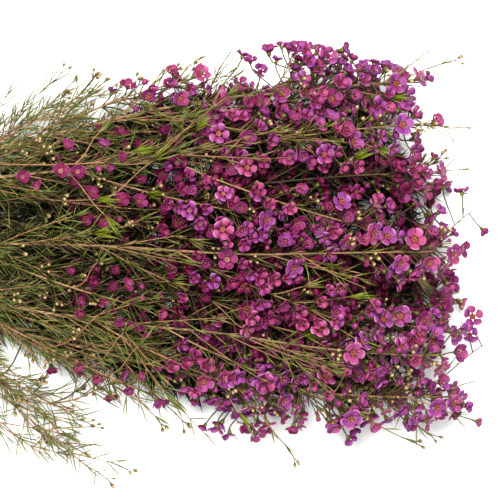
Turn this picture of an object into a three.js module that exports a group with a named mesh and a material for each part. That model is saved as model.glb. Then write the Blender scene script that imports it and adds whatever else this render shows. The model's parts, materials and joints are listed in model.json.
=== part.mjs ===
/**
 * A florist's bunch of purple waxflower, tied once and laid on its side.
 *
 * Millimetres. +X runs along the stems from the cut ends to the flowers, +Z is up, and z = 0 is the
 * surface the bunch lies on. The origin is under the tie, in the middle of the tie's flat underside.
 *
 * Twelve woody stems are held by one elastic tie. Each stem is one solid with its side branches,
 * its leafy twigs and their needle leaves. Each flowering spray is one solid with its flowers, buds
 * and needles, and it butts on the branch or stem end that carries it.
 *
 * A solid's skin grows as the plant does: a triangle of a shoot's bark is opened, and a needle, a
 * flower stalk or another shoot is raised from it, so that all of it stays one closed body. Before
 * anything is raised it is planned as rods, and it is only kept where they are clear of the rest.
 */
import * as THREE from "three";

// ---------------------------------------------------------------- driving dimensions

const SEED = 345;
const CLEARANCE = 0.35; // least gap between two things that grow
const SINK = 1.2; // how far a petal or needle may press into the surface, where it is then flattened

const TIE = { width: 9, thickness: 1.6, play: 0.35, sides: 18 };
const INNER_RING = { count: 3, radius: 4.2, spread: 0.4, turn: 30, rolled: 45 };
const OUTER_RING = { count: 9, radius: 9.6, spread: 0.84, turn: -70, rolled: 0 };
const HELD = 9; // how far each way from the tie's middle the stems run straight
const CUT_END_X = -112; // where the stems are cut
const CUT_RAGGED = 9; // give or take
const CUT_SPLAY = 1.5; // how much wider than at the tie the cut ends lie, across

const STEM = { radius: 2.6, tip: 0.95, sides: 4, opening: 0.66, gap: 0.5 };
const STEM_STEPS = [0, 0.12, 0.24, 0.36, 0.48, 0.6, 0.73, 0.86, 1]; // from the tie to the tip
const SWAY = { most: 2.6, waves: 9 }; // how far a stem winds from side to side, and how often
const HEAD = { halfWidth: 116, halfHeight: 47, side: -6, height: 52 }; // half axes, and its middle
const SHOULDER = { x: 214, halfWidth: 82, widening: 0.5, least: 20 }; // it narrows toward the stems
const FRONT = { x: 441, side: -25, fall: 0.0023, ragged: 20 }; // where the head ends, falling back

const BRANCH = { length: 40, steps: 2, lean: 32, radius: 0.95, tip: 0.85, beyond: 45, drift: 0.35 };
const BRANCH_AT = [0.45, 0.63, 0.8]; // how far along a stem its flowering branches leave it
const SPRAY = { terminal: 76, side: 80, most: 47, radius: 0.85, tip: 0.6 };
const SPRAY_STEPS = [0, 0.26, 0.44, 0.6, 0.75, 0.88, 1]; // where a spray bears flowers
const MOST_OUTSIDE = 6; // how far outside the head a spray may end
const BUTT_GAP = 0.3; // between a branch's end and the spray that goes on from it

const TWIG = { length: 56, steps: 5, lean: 38, radius: 0.9, tip: 0.55, beyond: 12, drift: 0.3 };
const TWIG_AT = [0.1, 0.22, 0.34, 0.46]; // how far along a stem its leafy twigs leave it
// Long loose branches that hang out of the bunch: where each leaves a stem, and its tip.
const LOOSE_BRANCHES = [
  { x: 84, to: [204, -149, 9] },
  { x: 70, to: [176, -134, 8] },
  { x: 96, to: [198, -112, 14] },
  { x: 118, to: [214, -98, 16] },
  { x: 78, to: [186, -126, 22] },
  { x: 92, to: [207, 88, 44] },
  { x: 66, to: [172, 78, 30] },
];
const LOOSE_BOW = { side: 10, front: 5 }; // how far a loose branch is bowed
const LEAST_FORK = 20; // degrees
const LOWEST_SHOOT = 4;
const ROOM = { parent: 1.2, others: 0.8, spray: 1 }; // gaps that leave room for needles
const FOOT = 1.1; // how far from its parent's middle a shoot's foot lies, in the parent's radii

const NEEDLE = { shortest: 14, longest: 23, lean: 34, turn: 22, radius: 0.5, base: 1.5 };
const PEDICEL = { length: 10.5, radius: 0.55, lean: 52, turn: 34 };
const FACING = { out: 0.6, up: 0.45, least: 0.6 }; // which way a flower turns on its stalk
const CALYX = { length: 3.8, radius: 1.5 };
const OPEN_FLOWER = { petal: 7.2, notch: 3.9, rise: 0.8, dip: 0.9, petalRod: 1.7 };
const CUP_FLOWER = { petal: 4.2, rise: 3, dip: 0.5, cupRod: 3.5 };
const BUD = { radius: 1.9, length: 4.6, stalk: 8, lean: 44, turn: 26, stalkRadius: 0.7 };
const SHARE = { open: 0.62, secondFlower: 0.5, bud: 0.34 };
const NEEDLE_SHARE = { twig: 0.72, stem: 0.6, spray: 0.2 };

const COLOURS = {
  leafyStem: { color: 0x66703a, roughness: 0.72 },
  spray: { color: 0xa8389a, roughness: 0.5 },
  tie: { color: 0xb98a52, roughness: 0.62 },
};

const tieInside = OUTER_RING.radius + STEM.radius + TIE.play;
const tieOutside = tieInside + TIE.thickness; // to the middle of a flat, one of which faces down
const BUNDLE_HEIGHT = tieOutside;

// ---------------------------------------------------------------- small helpers

const UP = new THREE.Vector3(0, 0, 1);
const FORWARD = new THREE.Vector3(1, 0, 0);
const radians = THREE.MathUtils.degToRad;
const mix = THREE.MathUtils.lerp;
const clamp01 = (value) => Math.min(1, Math.max(0, value));

/** A seeded source of numbers from 0 to 1. */
function seededDraw(seed) {
  let state = seed >>> 0;
  return () => {
    state = (state + 0x6d2b79f5) >>> 0;
    let t = Math.imul(state ^ (state >>> 15), state | 1);
    t = (t + Math.imul(t ^ (t >>> 7), t | 61)) ^ t;
    return ((t ^ (t >>> 14)) >>> 0) / 4294967296;
  };
}

const draw = seededDraw(SEED);
const between = (low, high) => low + (high - low) * draw();
const around = (middle, spread) => middle + spread * (2 * draw() - 1);

/** The point a distance along a direction. */
const along = (from, direction, distance) => from.clone().addScaledVector(direction, distance);

/** The part of v that is square to axis, as a unit vector. */
const squareTo = (v, axis) => along(v, axis, -v.dot(axis)).normalize();

/** The unit vector that leans from a frame's axis by an angle in degrees, on the side at azimuth. */
function leaning(frame, lean, azimuth) {
  const slope = Math.sin(radians(lean));
  const heading = frame.axis.clone().multiplyScalar(Math.cos(radians(lean)));
  heading.addScaledVector(frame.across, Math.cos(azimuth) * slope);
  return heading.addScaledVector(frame.up, Math.sin(azimuth) * slope);
}

/** The azimuth of a direction about a frame's axis. */
const azimuthOf = (frame, direction) => Math.atan2(direction.dot(frame.up), direction.dot(frame.across));

/** Outward from the middle of the head, at a place in it: one unit at the head's skin. */
function outwardAt({ x, y, z }) {
  const narrowed = SHOULDER.halfWidth + SHOULDER.widening * (x - SHOULDER.x);
  const halfWidth = Math.min(HEAD.halfWidth, Math.max(SHOULDER.least, narrowed));
  return new THREE.Vector3(0, (y - HEAD.side) / halfWidth, (z - HEAD.height) / HEAD.halfHeight);
}

/** How far forward the head reaches, at a place across it. */
const frontAt = (y) => FRONT.x - FRONT.fall * (y - FRONT.side) ** 2;

/** How far a place lies outside the head, in millimetres or so, or 0 inside it. */
function outsideAt(at) {
  const past = Math.max(0, at.x - frontAt(at.y));
  return past + Math.max(0, outwardAt(at).length() - 1) * HEAD.halfWidth;
}

/** Angles that divide a turn evenly, the first of them a part of a step from zero. */
const evenAngles = (count, first = 0) =>
  Array.from({ length: count }, (_, k) => ((k + first) * 2 * Math.PI) / count);

// ---------------------------------------------------------------- keeping things clear

/** One rod of a plan: the segment from-to, thickened. */
function rod(from, to, radius) {
  return { from, to, radius, middle: from.clone().lerp(to, 0.5), half: from.distanceTo(to) / 2 };
}

/** The square of the least distance between the middle lines of two rods. */
function lineGapSquared(first, second) {
  const u = first.to.clone().sub(first.from);
  const v = second.to.clone().sub(second.from);
  const w = first.from.clone().sub(second.from);
  const [uu, vv, uv, uw, vw] = [u.dot(u), v.dot(v), u.dot(v), u.dot(w), v.dot(w)];
  const cross = uu * vv - uv * uv;
  const s = cross > 1e-9 ? clamp01((uv * vw - uw * vv) / cross) : 0;
  const t = clamp01((uv * s + vw) / vv);
  const best = clamp01((uv * t - uw) / uu);
  return w.addScaledVector(u, best).addScaledVector(v, -t).lengthSq();
}

/** Every rod that has been kept, so that the next one can be held clear of it. */
class Thicket {
  rods = [];

  /** True if rods keep a margin from all that is there, but for what belongs to one shoot. */
  isClear(rods, margin = CLEARANCE, except = null) {
    return rods.every(
      (next) =>
        Math.min(next.from.z, next.to.z) - next.radius > -SINK &&
        this.rods.every((other) => other.owner === except || this.areApart(next, other, margin)),
    );
  }

  areApart(first, second, margin) {
    const least = first.radius + second.radius + margin;
    const reach = first.half + second.half + least;
    if (first.middle.distanceToSquared(second.middle) > reach * reach) return true;
    return lineGapSquared(first, second) > least * least;
  }

  add(rods, owner) {
    for (const next of rods) this.rods.push({ ...next, owner });
  }

  /** The first of some plans on a shoot that is clear, which is then kept, or null. */
  settle(tries, shoot, makePlan) {
    for (let attempt = 0; attempt < tries; attempt++) {
      const plan = makePlan();
      if (!this.isClear(plan.rods) || !this.isClear([plan.root], CLEARANCE, shoot)) continue;
      this.add(plan.rods);
      this.add([plan.root], shoot);
      return plan;
    }
    return null;
  }
}

const thicket = new Thicket();

// ---------------------------------------------------------------- shoots

/** A stem, branch, twig or spray axis: ring centres, with a frame and a radius at each. */
class Shoot {
  constructor(points, base, tip, sides = 3, firstUp = UP) {
    const last = points.length - 1;
    Object.assign(this, { points, sides, openable: [] });
    this.radii = points.map((_, k) => mix(base, tip, k / last));
    let up = firstUp;
    this.frames = points.map((at, k) => {
      const axis = points[Math.min(k + 1, last)].clone().sub(points[Math.max(k - 1, 0)]).normalize();
      const across = squareTo(up.clone().cross(axis), axis);
      up = axis.clone().cross(across);
      return { at, axis, across, up };
    });
  }

  get end() {
    return this.frames[this.frames.length - 1];
  }

  rods() {
    return this.points.slice(1).map((to, k) => rod(this.points[k], to, this.radii[k]));
  }

  /** The angle round the axis of the middle of one side. */
  azimuth(side) {
    return (side * 2 * Math.PI) / this.sides;
  }

  /** The side that looks most along a direction, at one ring. */
  sideToward(ring, direction) {
    const turns = azimuthOf(this.frames[ring], direction) / (2 * Math.PI);
    return (Math.round(turns * this.sides) + this.sides) % this.sides;
  }

  /** The last ring at or before a place along X. */
  ringAt(x) {
    return this.points.filter((point) => point.x <= x).length - 1;
  }
}

/** Ring centres of a shoot that sets out along a heading and bends toward a drift. */
function growPoints(from, heading, length, steps, drift) {
  const points = [from.clone()];
  const ahead = heading.clone();
  for (let k = 1; k < steps.length; k++) {
    const step = steps[k] - steps[k - 1];
    ahead.addScaledVector(drift, step).normalize();
    const next = along(points[k - 1], ahead, length * step);
    next.z = Math.max(next.z, LOWEST_SHOOT);
    ahead.copy(next).sub(points[k - 1]).normalize();
    points.push(next);
  }
  return points;
}

const evenSteps = (count) => Array.from({ length: count + 1 }, (_, k) => k / count);

// ---------------------------------------------------------------- the growth of the bunch

/** Where the stems pass the tie. */
function stemPlaces() {
  return [OUTER_RING, INNER_RING].flatMap((ring) =>
    evenAngles(ring.count).map((turn) => ({ ...ring, angle: turn + radians(ring.turn) })),
  );
}

/** A main stem, from its cut end through the tie to where its terminal spray begins. */
function growStem({ angle, radius, spread, rolled }) {
  const tied = new THREE.Vector3(0, radius * Math.cos(angle), BUNDLE_HEIGHT + radius * Math.sin(angle));
  const tip = new THREE.Vector3(0, HEAD.side + spread * HEAD.halfWidth * Math.cos(angle), 0);
  tip.y += around(0, 5);
  tip.z = HEAD.height + spread * HEAD.halfHeight * Math.sin(angle) + around(0, 3);
  tip.x = frontAt(tip.y) - SPRAY.terminal - between(0, FRONT.ragged);
  const points = [CUT_END_X + around(0, CUT_RAGGED), CUT_END_X * 0.5, -HELD].map(
    (x) => new THREE.Vector3(x, tied.y * mix(1, CUT_SPLAY, (-x - HELD) / -CUT_END_X), tied.z),
  );
  const wave = between(0, 2 * Math.PI);
  for (const step of STEM_STEPS) {
    const t = step > 0 && step < 1 ? step + around(0, 0.03) : step;
    const opened = Math.pow(t, STEM.opening);
    const sway = SWAY.most * Math.sin(wave + t * SWAY.waves) * t;
    const y = mix(tied.y, tip.y, opened) + sway;
    points.push(new THREE.Vector3(mix(HELD, tip.x, t), y, mix(tied.z, tip.z, t)));
  }
  // The corners of an outer stem's section face the tie, and an inner stem's face its neighbours.
  const corner = angle + radians(rolled) + Math.PI / STEM.sides;
  const firstUp = new THREE.Vector3(0, Math.cos(corner), Math.sin(corner));
  return new Shoot(points, STEM.radius, STEM.tip, STEM.sides, firstUp);
}

/** A main stem that passes clear of those that are there. */
function planStem(place) {
  for (let attempt = 0; attempt < 200; attempt++) {
    const stem = growStem(place);
    if (!thicket.isClear(stem.rods(), STEM.gap)) continue;
    thicket.add(stem.rods(), stem);
    return stem;
  }
  throw new Error("there is no room for a stem");
}

/** Keeps a side shoot of a parent if it is clear, and returns it, or null. */
function keepShoot(shoot, parent, beyond, pointed) {
  shoot.tip = along(shoot.end.at, shoot.end.axis, beyond);
  const rods = [...shoot.rods(), rod(shoot.end.at, shoot.tip, TWIG.tip + 0.05)];
  if (!thicket.isClear(rods.slice(1), ROOM.others)) return null;
  if (!thicket.isClear(rods, ROOM.parent, parent)) return null;
  thicket.add(pointed ? rods : shoot.rods(), shoot);
  return shoot;
}

/** A branch or twig from a side of its parent, or null if there is no room for it. */
function planShoot(parent, { ring, side, turn = 0, play = 22 }, kind, pointed) {
  const frame = parent.frames[ring];
  for (let attempt = 0; attempt < 12; attempt++) {
    const azimuth = parent.azimuth(side) + radians(around(turn, play));
    const heading = leaning(frame, around(kind.lean, 7), azimuth);
    const drift = FORWARD.clone().multiplyScalar(kind.drift).addScaledVector(UP, around(0, 0.12));
    const length = kind.length * between(0.85, 1.15);
    const foot = along(frame.at, heading, parent.radii[ring] * FOOT);
    const points = growPoints(foot, heading, length, evenSteps(kind.steps), drift);
    const shoot = new Shoot(points, kind.radius, kind.tip, 3, frame.axis.clone().cross(heading));
    if (keepShoot(shoot, parent, kind.beyond, pointed)) return shoot;
  }
  return null;
}

/** A long leafy branch to a given tip, bowed to the side it leaves, or null if there is no room. */
function planLooseBranch(parent, { ring, side }, to) {
  const frame = parent.frames[ring];
  const sideways = leaning(frame, 90, parent.azimuth(side));
  for (let attempt = 0; attempt < 16; attempt++) {
    const tip = new THREE.Vector3(...to).add(new THREE.Vector3(around(0, 5), around(0, 3), around(2, 2)));
    const heading = tip.clone().sub(frame.at).normalize();
    const foot = along(frame.at, heading, parent.radii[ring] * FOOT);
    const bow = FORWARD.clone().multiplyScalar(around(LOOSE_BOW.front, 4));
    bow.addScaledVector(sideways, around(LOOSE_BOW.side, 3));
    const points = evenSteps(8).map((t) =>
      foot.clone().lerp(tip, t).addScaledVector(bow, Math.sin(Math.PI * t)),
    );
    const shoot = new Shoot(points, 1, TWIG.tip, 3, frame.axis.clone().cross(heading));
    if (keepShoot(shoot, parent, TWIG.beyond, true)) return shoot;
  }
  return null;
}

/** The axis of a flowering spray that goes on from the end of a branch or stem, or null. */
function planSpray(carrier, length) {
  const { at, axis, up } = carrier.end;
  const from = along(at, axis, BUTT_GAP);
  for (let attempt = 0; attempt < 40; attempt++) {
    const drift = FORWARD.clone().multiplyScalar(between(0.1, 0.5));
    drift.addScaledVector(outwardAt(from), around(0, 0.25)).addScaledVector(UP, around(0.05, 0.2));
    const points = growPoints(from, axis, length * between(0.9, 1.06), SPRAY_STEPS, drift);
    const spray = new Shoot(points, SPRAY.radius, SPRAY.tip, 3, up);
    if (outsideAt(spray.end.at) > MOST_OUTSIDE) continue;
    if (!thicket.isClear(spray.rods(), ROOM.spray, carrier)) continue;
    thicket.add(spray.rods(), spray);
    return spray;
  }
  return null;
}

/** A random direction square to the stems. */
function anyWay() {
  const angle = between(0, 2 * Math.PI);
  return new THREE.Vector3(0, Math.cos(angle), Math.sin(angle));
}

/** The ring of a stem that lies a part of the way along it, give or take. */
const ringAlong = (axis, part) => axis.ringAt(mix(HELD, axis.end.at.x, part + around(0, 0.04)));

/** True if nothing leaves a stem at a site yet. */
const isFree = ({ shoots }, ring, side) =>
  !shoots.some((other) => other.ring === ring && other.side === side);

/** Adds a leafy twig to a stem, on the side that looks most along a direction. */
function addTwig(stem, part, wanted) {
  const ring = ringAlong(stem.axis, part);
  const site = { ring, side: stem.axis.sideToward(ring, wanted) };
  if (!isFree(stem, site.ring, site.side)) return;
  const shoot = planShoot(stem.axis, site, TWIG, true);
  if (shoot) stem.shoots.push({ shoot, ...site, pointed: true });
}

/** The sites at a ring of a stem, those first whose spray would have the most room in the head. */
function roomiestSites(stem, ring, taken) {
  const frame = stem.axis.frames[ring];
  const sites = [];
  for (let side = 0; side < stem.axis.sides; side++)
    for (const turn of [-26, 0, 26]) {
      const heading = leaning(frame, BRANCH.lean, stem.axis.azimuth(side) + radians(turn));
      const middle = along(along(frame.at, heading, SPRAY.side), FORWARD, SPRAY.side * 0.3);
      const tip = along(along(frame.at, heading, SPRAY.side * 1.25), FORWARD, SPRAY.side * 0.6);
      const room = Math.min(...taken.map((other) => other.distanceTo(middle))) - outsideAt(tip);
      sites.push({ ring, side, turn, play: 8, room });
    }
  return sites.filter(({ side }) => isFree(stem, ring, side)).sort((a, b) => b.room - a.room);
}

/** The middle of a spray. */
const middleOf = (spray) => spray.points[3];

/** Adds a branch to a stem, and a flowering spray that goes on from it, where there is most room. */
function addBranch(stem, part, sprays) {
  const sites = roomiestSites(stem, ringAlong(stem.axis, part), sprays.map(middleOf));
  for (const site of sites.slice(0, 8)) {
    const before = thicket.rods.length;
    const shoot = planShoot(stem.axis, site, BRANCH, false);
    const spray = shoot && planSpray(shoot, SPRAY.side);
    if (spray) {
      stem.shoots.push({ shoot, ring: site.ring, side: site.side, pointed: false });
      sprays.push(spray);
      return;
    }
    thicket.rods.length = before;
  }
}

/** Adds a loose branch to the stem that is nearest to its tip across the bunch. */
function addLooseBranch(stems, { x, to }) {
  const across = (stem) => Math.abs(stem.axis.points[stem.axis.ringAt(x)].y - to[1]);
  const near = [...stems].sort((a, b) => across(a) - across(b)).slice(0, 4);
  for (const stem of near) {
    const ring = stem.axis.ringAt(x);
    const wanted = new THREE.Vector3(...to).sub(stem.axis.points[ring]);
    const site = { ring, side: stem.axis.sideToward(ring, wanted) };
    const isNarrow = wanted.angleTo(stem.axis.frames[ring].axis) < radians(LEAST_FORK);
    if (isNarrow || !isFree(stem, ring, site.side)) continue;
    const shoot = planLooseBranch(stem.axis, site, to);
    if (!shoot) continue;
    stem.shoots.push({ shoot, ...site, pointed: true });
    return;
  }
}

/** All the shoots of the bunch: the stems with their branches and twigs, and the sprays. */
function planShoots() {
  const stems = stemPlaces().map((place) => ({ axis: planStem(place), shoots: [] }));
  const sprays = stems.map(({ axis }) => planSpray(axis, SPRAY.terminal));
  if (sprays.includes(null)) throw new Error("there is no room for a terminal spray");
  LOOSE_BRANCHES.forEach((loose) => addLooseBranch(stems, loose));
  for (const part of BRANCH_AT)
    for (const stem of stems) if (sprays.length < SPRAY.most) addBranch(stem, part, sprays);
  for (const part of TWIG_AT)
    for (const stem of stems) addTwig(stem, part, outwardAt(stem.axis.end.at).add(anyWay()));
  return { stems, sprays };
}

// ---------------------------------------------------------------- what a shoot bears

/** A stalk or needle as two rods: the root in its shoot's bark, and the rest, clear of the bark. */
function stalkRods(frame, heading, shootRadius, to, radius) {
  const slope = Math.max(0.4, Math.sqrt(1 - heading.dot(frame.axis) ** 2));
  const foot = along(frame.at, heading, (shootRadius + radius + CLEARANCE + 0.1) / slope);
  return [rod(frame.at, foot, radius), rod(foot, to, radius)];
}

/** A needle leaf from one side of a shoot. */
function planNeedle(shoot, ring, side) {
  const frame = shoot.frames[ring];
  const length = between(NEEDLE.shortest, NEEDLE.longest);
  return thicket.settle(5, shoot, () => {
    const azimuth = shoot.azimuth(side) + radians(around(0, NEEDLE.turn));
    const heading = leaning(frame, around(NEEDLE.lean, 9), azimuth);
    const tip = along(frame.at, heading, length);
    const [root, ...rods] = stalkRods(frame, heading, shoot.radii[ring], tip, NEEDLE.radius);
    return { tip, root, rods };
  });
}

/** The frame at a stalk's end, turned so that the stalk does not twist on its way from the parent. */
function stalkFrame(at, axis, heading, parent) {
  const near = Math.abs(heading.dot(parent.axis)) > 0.9 ? parent.across.clone().negate() : parent.axis;
  const across = squareTo(squareTo(near, heading), axis);
  return { at, axis, across, up: axis.clone().cross(across) };
}

/** The way a flower faces: on along its stalk, out of the head, and up to the light. */
function facing(heading, at) {
  const wanted = along(heading, outwardAt(at), FACING.out).addScaledVector(UP, FACING.up).normalize();
  while (wanted.dot(heading) < FACING.least) wanted.lerp(heading, 0.25).normalize();
  return wanted;
}

/** The rods that stand for a flower's calyx and its petals. */
function bloomRods(head, isOpen) {
  const middle = along(head.at, head.axis, CALYX.length);
  const calyx = rod(head.at, middle, CALYX.radius);
  if (!isOpen) {
    const rim = along(middle, head.axis, CUP_FLOWER.rise);
    return [calyx, rod(middle, rim, CUP_FLOWER.cupRod)];
  }
  const petals = evenAngles(5).map((turn) => {
    const tip = along(middle, leaning(head, 90, turn), OPEN_FLOWER.petal - 1.6);
    return rod(middle, along(tip, head.axis, OPEN_FLOWER.rise), OPEN_FLOWER.petalRod);
  });
  return [calyx, ...petals];
}

/** A flower from one side of a spray, or on from its end. */
function planFlower(spray, ring, side) {
  const frame = spray.frames[ring];
  const atEnd = side === null;
  const isOpen = draw() < SHARE.open;
  return thicket.settle(16, spray, () => {
    const turned = () => spray.azimuth(side) + radians(around(0, PEDICEL.turn));
    const azimuth = atEnd ? between(0, 2 * Math.PI) : turned();
    const lean = atEnd ? between(0, 20) : around(PEDICEL.lean, 14);
    const heading = leaning(frame, lean, azimuth);
    const at = along(frame.at, heading, PEDICEL.length * between(0.75, 1.25) + spray.radii[ring]);
    const head = stalkFrame(at, facing(heading, at), heading, frame);
    const [root, stalk] = stalkRods(frame, heading, spray.radii[ring], at, PEDICEL.radius);
    return { head, isOpen, root, rods: [stalk, ...bloomRods(head, isOpen)] };
  });
}

/** A closed bud on its stalk, from one side of a spray. */
function planBud(spray, ring, side) {
  const frame = spray.frames[ring];
  return thicket.settle(8, spray, () => {
    const lean = around(BUD.lean, 8);
    const heading = leaning(frame, lean, spray.azimuth(side) + radians(around(0, BUD.turn)));
    const at = along(frame.at, heading, BUD.stalk + spray.radii[ring]);
    const tip = along(at, heading, BUD.length);
    const [root, stalk] = stalkRods(frame, heading, spray.radii[ring], at, BUD.stalkRadius);
    const head = stalkFrame(at, heading, heading, frame);
    return { head, tip, root, rods: [stalk, rod(at, tip, BUD.radius)] };
  });
}

// ---------------------------------------------------------------- the skin of one solid

/** One closed body of triangles, in which openings are made for what is raised from them. */
class Skin {
  points = [];
  triangles = [];

  point(at) {
    this.points.push(new THREE.Vector3(at.x, at.y, Math.max(0, at.z)));
    return this.points.length - 1;
  }

  triangle(a, b, c) {
    this.triangles.push([a, b, c]);
    return this.triangles.length - 1;
  }

  /** A ring of points round a frame, anticlockwise about its axis. */
  ring(frame, angles, radiusAt, riseAt = () => 0) {
    return angles.map((angle, k) => {
      const at = along(frame.at, frame.axis, riseAt(k));
      at.addScaledVector(frame.across, Math.cos(angle) * radiusAt(k));
      return this.point(at.addScaledVector(frame.up, Math.sin(angle) * radiusAt(k)));
    });
  }

  /** Closes a ring flat. */
  close(ring) {
    for (let k = 1; k < ring.length - 1; k++) this.triangle(ring[0], ring[k], ring[k + 1]);
  }

  /** Closes a ring with a fan to a point. */
  fan(ring, tip) {
    const apex = this.point(tip);
    ring.forEach((at, k) => this.triangle(at, ring[(k + 1) % ring.length], apex));
  }

  /** The wall between a ring of three and a larger one further out, both begun on the same side. */
  flare(small, large) {
    let corner = 0;
    large.forEach((at, k) => {
      const next = large[(k + 1) % large.length];
      this.triangle(small[corner % 3], next, at);
      if (corner === 3 || (k + 1) / large.length < (corner + 0.5) / 3) return;
      this.triangle(small[corner], small[(corner + 1) % 3], next);
      corner++;
    });
  }

  /** Covers a shoot, from its foot or from an opening, and returns its last ring, still open. */
  cover(shoot, opening = null) {
    const angles = evenAngles(shoot.sides, -0.5);
    const rings = shoot.frames.map((frame, k) =>
      k === 0 && opening ? opening : this.ring(frame, angles, () => shoot.radii[k]),
    );
    if (!opening) this.close([...rings[0]].reverse());
    shoot.openable = rings.slice(1).map((ahead, k) =>
      ahead.map((_, side) => {
        const next = (side + 1) % shoot.sides;
        this.triangle(rings[k][next], ahead[next], ahead[side]);
        return this.triangle(rings[k][side], rings[k][next], ahead[side]);
      }),
    );
    return rings[rings.length - 1];
  }

  /** Opens a small triangle at a ring, in one side of a shoot. */
  open(shoot, ring, side, length = NEEDLE.base) {
    const index = shoot.openable[ring][side];
    const [a, b, c] = this.triangles[index];
    const foot = this.points[a].clone().lerp(this.points[b], 0.5);
    const part = Math.min(0.6, length / foot.distanceTo(this.points[c]));
    const inner = this.point(foot.lerp(this.points[c], part));
    this.triangles[index] = [b, c, inner];
    this.triangle(c, a, inner);
    shoot.openable[ring][side] = null;
    return [a, b, inner];
  }

  /** Raises a stalk and a flower from an opening: five blunt petals, or a half-open cup. */
  raiseFlower([a, b, inner], { head, isOpen }) {
    const foot = [inner, a, b];
    const stalkEnd = this.ring(head, evenAngles(3), () => PEDICEL.radius);
    stalkEnd.forEach((at, k) => {
      const next = (k + 1) % 3;
      this.triangle(foot[k], foot[next], at);
      this.triangle(foot[next], stalkEnd[next], at);
    });
    const shape = isOpen ? OPEN_FLOWER : CUP_FLOWER;
    const isNotch = (k) => isOpen && k % 2 === 1;
    const radiusAt = (k) => (isNotch(k) ? shape.notch : shape.petal);
    const riseAt = (k) => CALYX.length + shape.rise * (isNotch(k) ? 0.3 : 1);
    const rim = this.ring(head, evenAngles(isOpen ? 10 : 5), radiusAt, riseAt);
    this.flare(stalkEnd, rim);
    this.fan(rim, along(head.at, head.axis, CALYX.length - shape.dip));
  }

  /** Raises a stalk that swells into a closed bud from an opening. */
  raiseBud([a, b, inner], { head, tip }) {
    const belly = { ...head, at: along(head.at, head.axis, BUD.length * 0.5) };
    const ring = this.ring(belly, evenAngles(4, -0.5), () => BUD.radius);
    this.flare([inner, a, b], ring);
    this.fan(ring, tip);
  }

  mesh(name, look) {
    const geometry = new THREE.BufferGeometry().setFromPoints(this.points);
    geometry.setIndex(this.triangles.flat());
    geometry.computeVertexNormals();
    const mesh = new THREE.Mesh(geometry, new THREE.MeshStandardMaterial(look));
    mesh.name = name;
    return mesh;
  }
}

// ---------------------------------------------------------------- clothing the shoots

/** Every site of a shoot that can still be opened, from its tip back to a ring. */
function freeSites(shoot, firstRing) {
  const rings = shoot.openable.map((_, ring) => ring).filter((ring) => ring >= firstRing);
  const sites = rings.reverse().flatMap((ring) => shoot.openable[ring].map((_, side) => [ring, side]));
  return sites.filter(([ring, side]) => shoot.openable[ring][side] !== null);
}

/** Raises needles from a share of a shoot's free sites. */
function addNeedles(skin, shoot, share, firstRing) {
  for (const [ring, side] of freeSites(shoot, firstRing)) {
    if (draw() > share) continue;
    const needle = planNeedle(shoot, ring, side);
    if (needle) skin.fan(skin.open(shoot, ring, side), needle.tip);
  }
}

/** Raises one flower at a ring of a spray, if there is room. */
function addFlower(skin, spray, ring, side) {
  const flower = planFlower(spray, ring, side);
  if (flower) skin.raiseFlower(skin.open(spray, ring, side), flower);
}

/** Gives every spray its flowers, from the tips back, and closes the tips that bear none. */
function addFlowers(skins, sprays) {
  sprays.forEach((spray, i) => {
    const flower = planFlower(spray, spray.points.length - 1, null);
    if (flower) skins[i].raiseFlower(spray.lastRing, flower);
    else skins[i].close(spray.lastRing);
  });
  sprays.forEach((spray, i) => {
    for (let ring = SPRAY_STEPS.length - 2; ring > 0; ring--)
      addFlower(skins[i], spray, ring, (ring + i) % 3);
  });
  sprays.forEach((spray, i) => {
    for (let ring = SPRAY_STEPS.length - 2; ring > 0; ring--)
      if (draw() < SHARE.secondFlower) addFlower(skins[i], spray, ring, (ring + i + 1) % 3);
  });
}

/** Gives every spray some buds. */
function addBuds(skins, sprays) {
  sprays.forEach((spray, i) => {
    for (const [ring, side] of freeSites(spray, 1)) {
      const bud = draw() < SHARE.bud ? planBud(spray, ring, side) : null;
      if (bud) skins[i].raiseBud(skins[i].open(spray, ring, side), bud);
    }
  });
}

/** The skin of a stem with its branches and twigs, their ends closed or drawn out to a needle. */
function stemSkin({ axis, shoots }) {
  const skin = new Skin();
  skin.close(skin.cover(axis));
  for (const { shoot, ring, side, pointed } of shoots) {
    const lastRing = skin.cover(shoot, skin.open(axis, ring, side, STEM.radius));
    if (pointed) skin.fan(lastRing, shoot.tip);
    else skin.close(lastRing);
  }
  return skin;
}

/** The skin of a spray's axis, its end left open for its last flower. */
function spraySkin(spray) {
  const skin = new Skin();
  spray.lastRing = skin.cover(spray);
  return skin;
}

/** Gives the stems, their twigs and the sprays their needles. */
function addAllNeedles(stems, stemSkins, sprays, spraySkins) {
  stems.forEach(({ axis, shoots }, i) => {
    for (const { shoot } of shoots) addNeedles(stemSkins[i], shoot, NEEDLE_SHARE.twig, 1);
    addNeedles(stemSkins[i], axis, NEEDLE_SHARE.stem, axis.ringAt(250));
  });
  sprays.forEach((spray, i) => addNeedles(spraySkins[i], spray, NEEDLE_SHARE.spray, 0));
}

/** The elastic tie: a stretched band of many flats round the stems. */
function tieMesh() {
  const toCorner = 1 / Math.cos(Math.PI / TIE.sides);
  const [inner, outer, half] = [tieInside * toCorner, tieOutside * toCorner, TIE.width / 2];
  const section = [[inner, -half], [outer, -half], [outer, half], [inner, half], [inner, -half]];
  const profile = section.map(([radius, x]) => new THREE.Vector2(radius, x));
  const geometry = new THREE.LatheGeometry(profile, TIE.sides, Math.PI / TIE.sides);
  geometry.rotateZ(-Math.PI / 2);
  const mesh = new THREE.Mesh(geometry, new THREE.MeshStandardMaterial(COLOURS.tie));
  mesh.position.z = BUNDLE_HEIGHT;
  mesh.name = "elastic_tie";
  return mesh;
}

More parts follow.
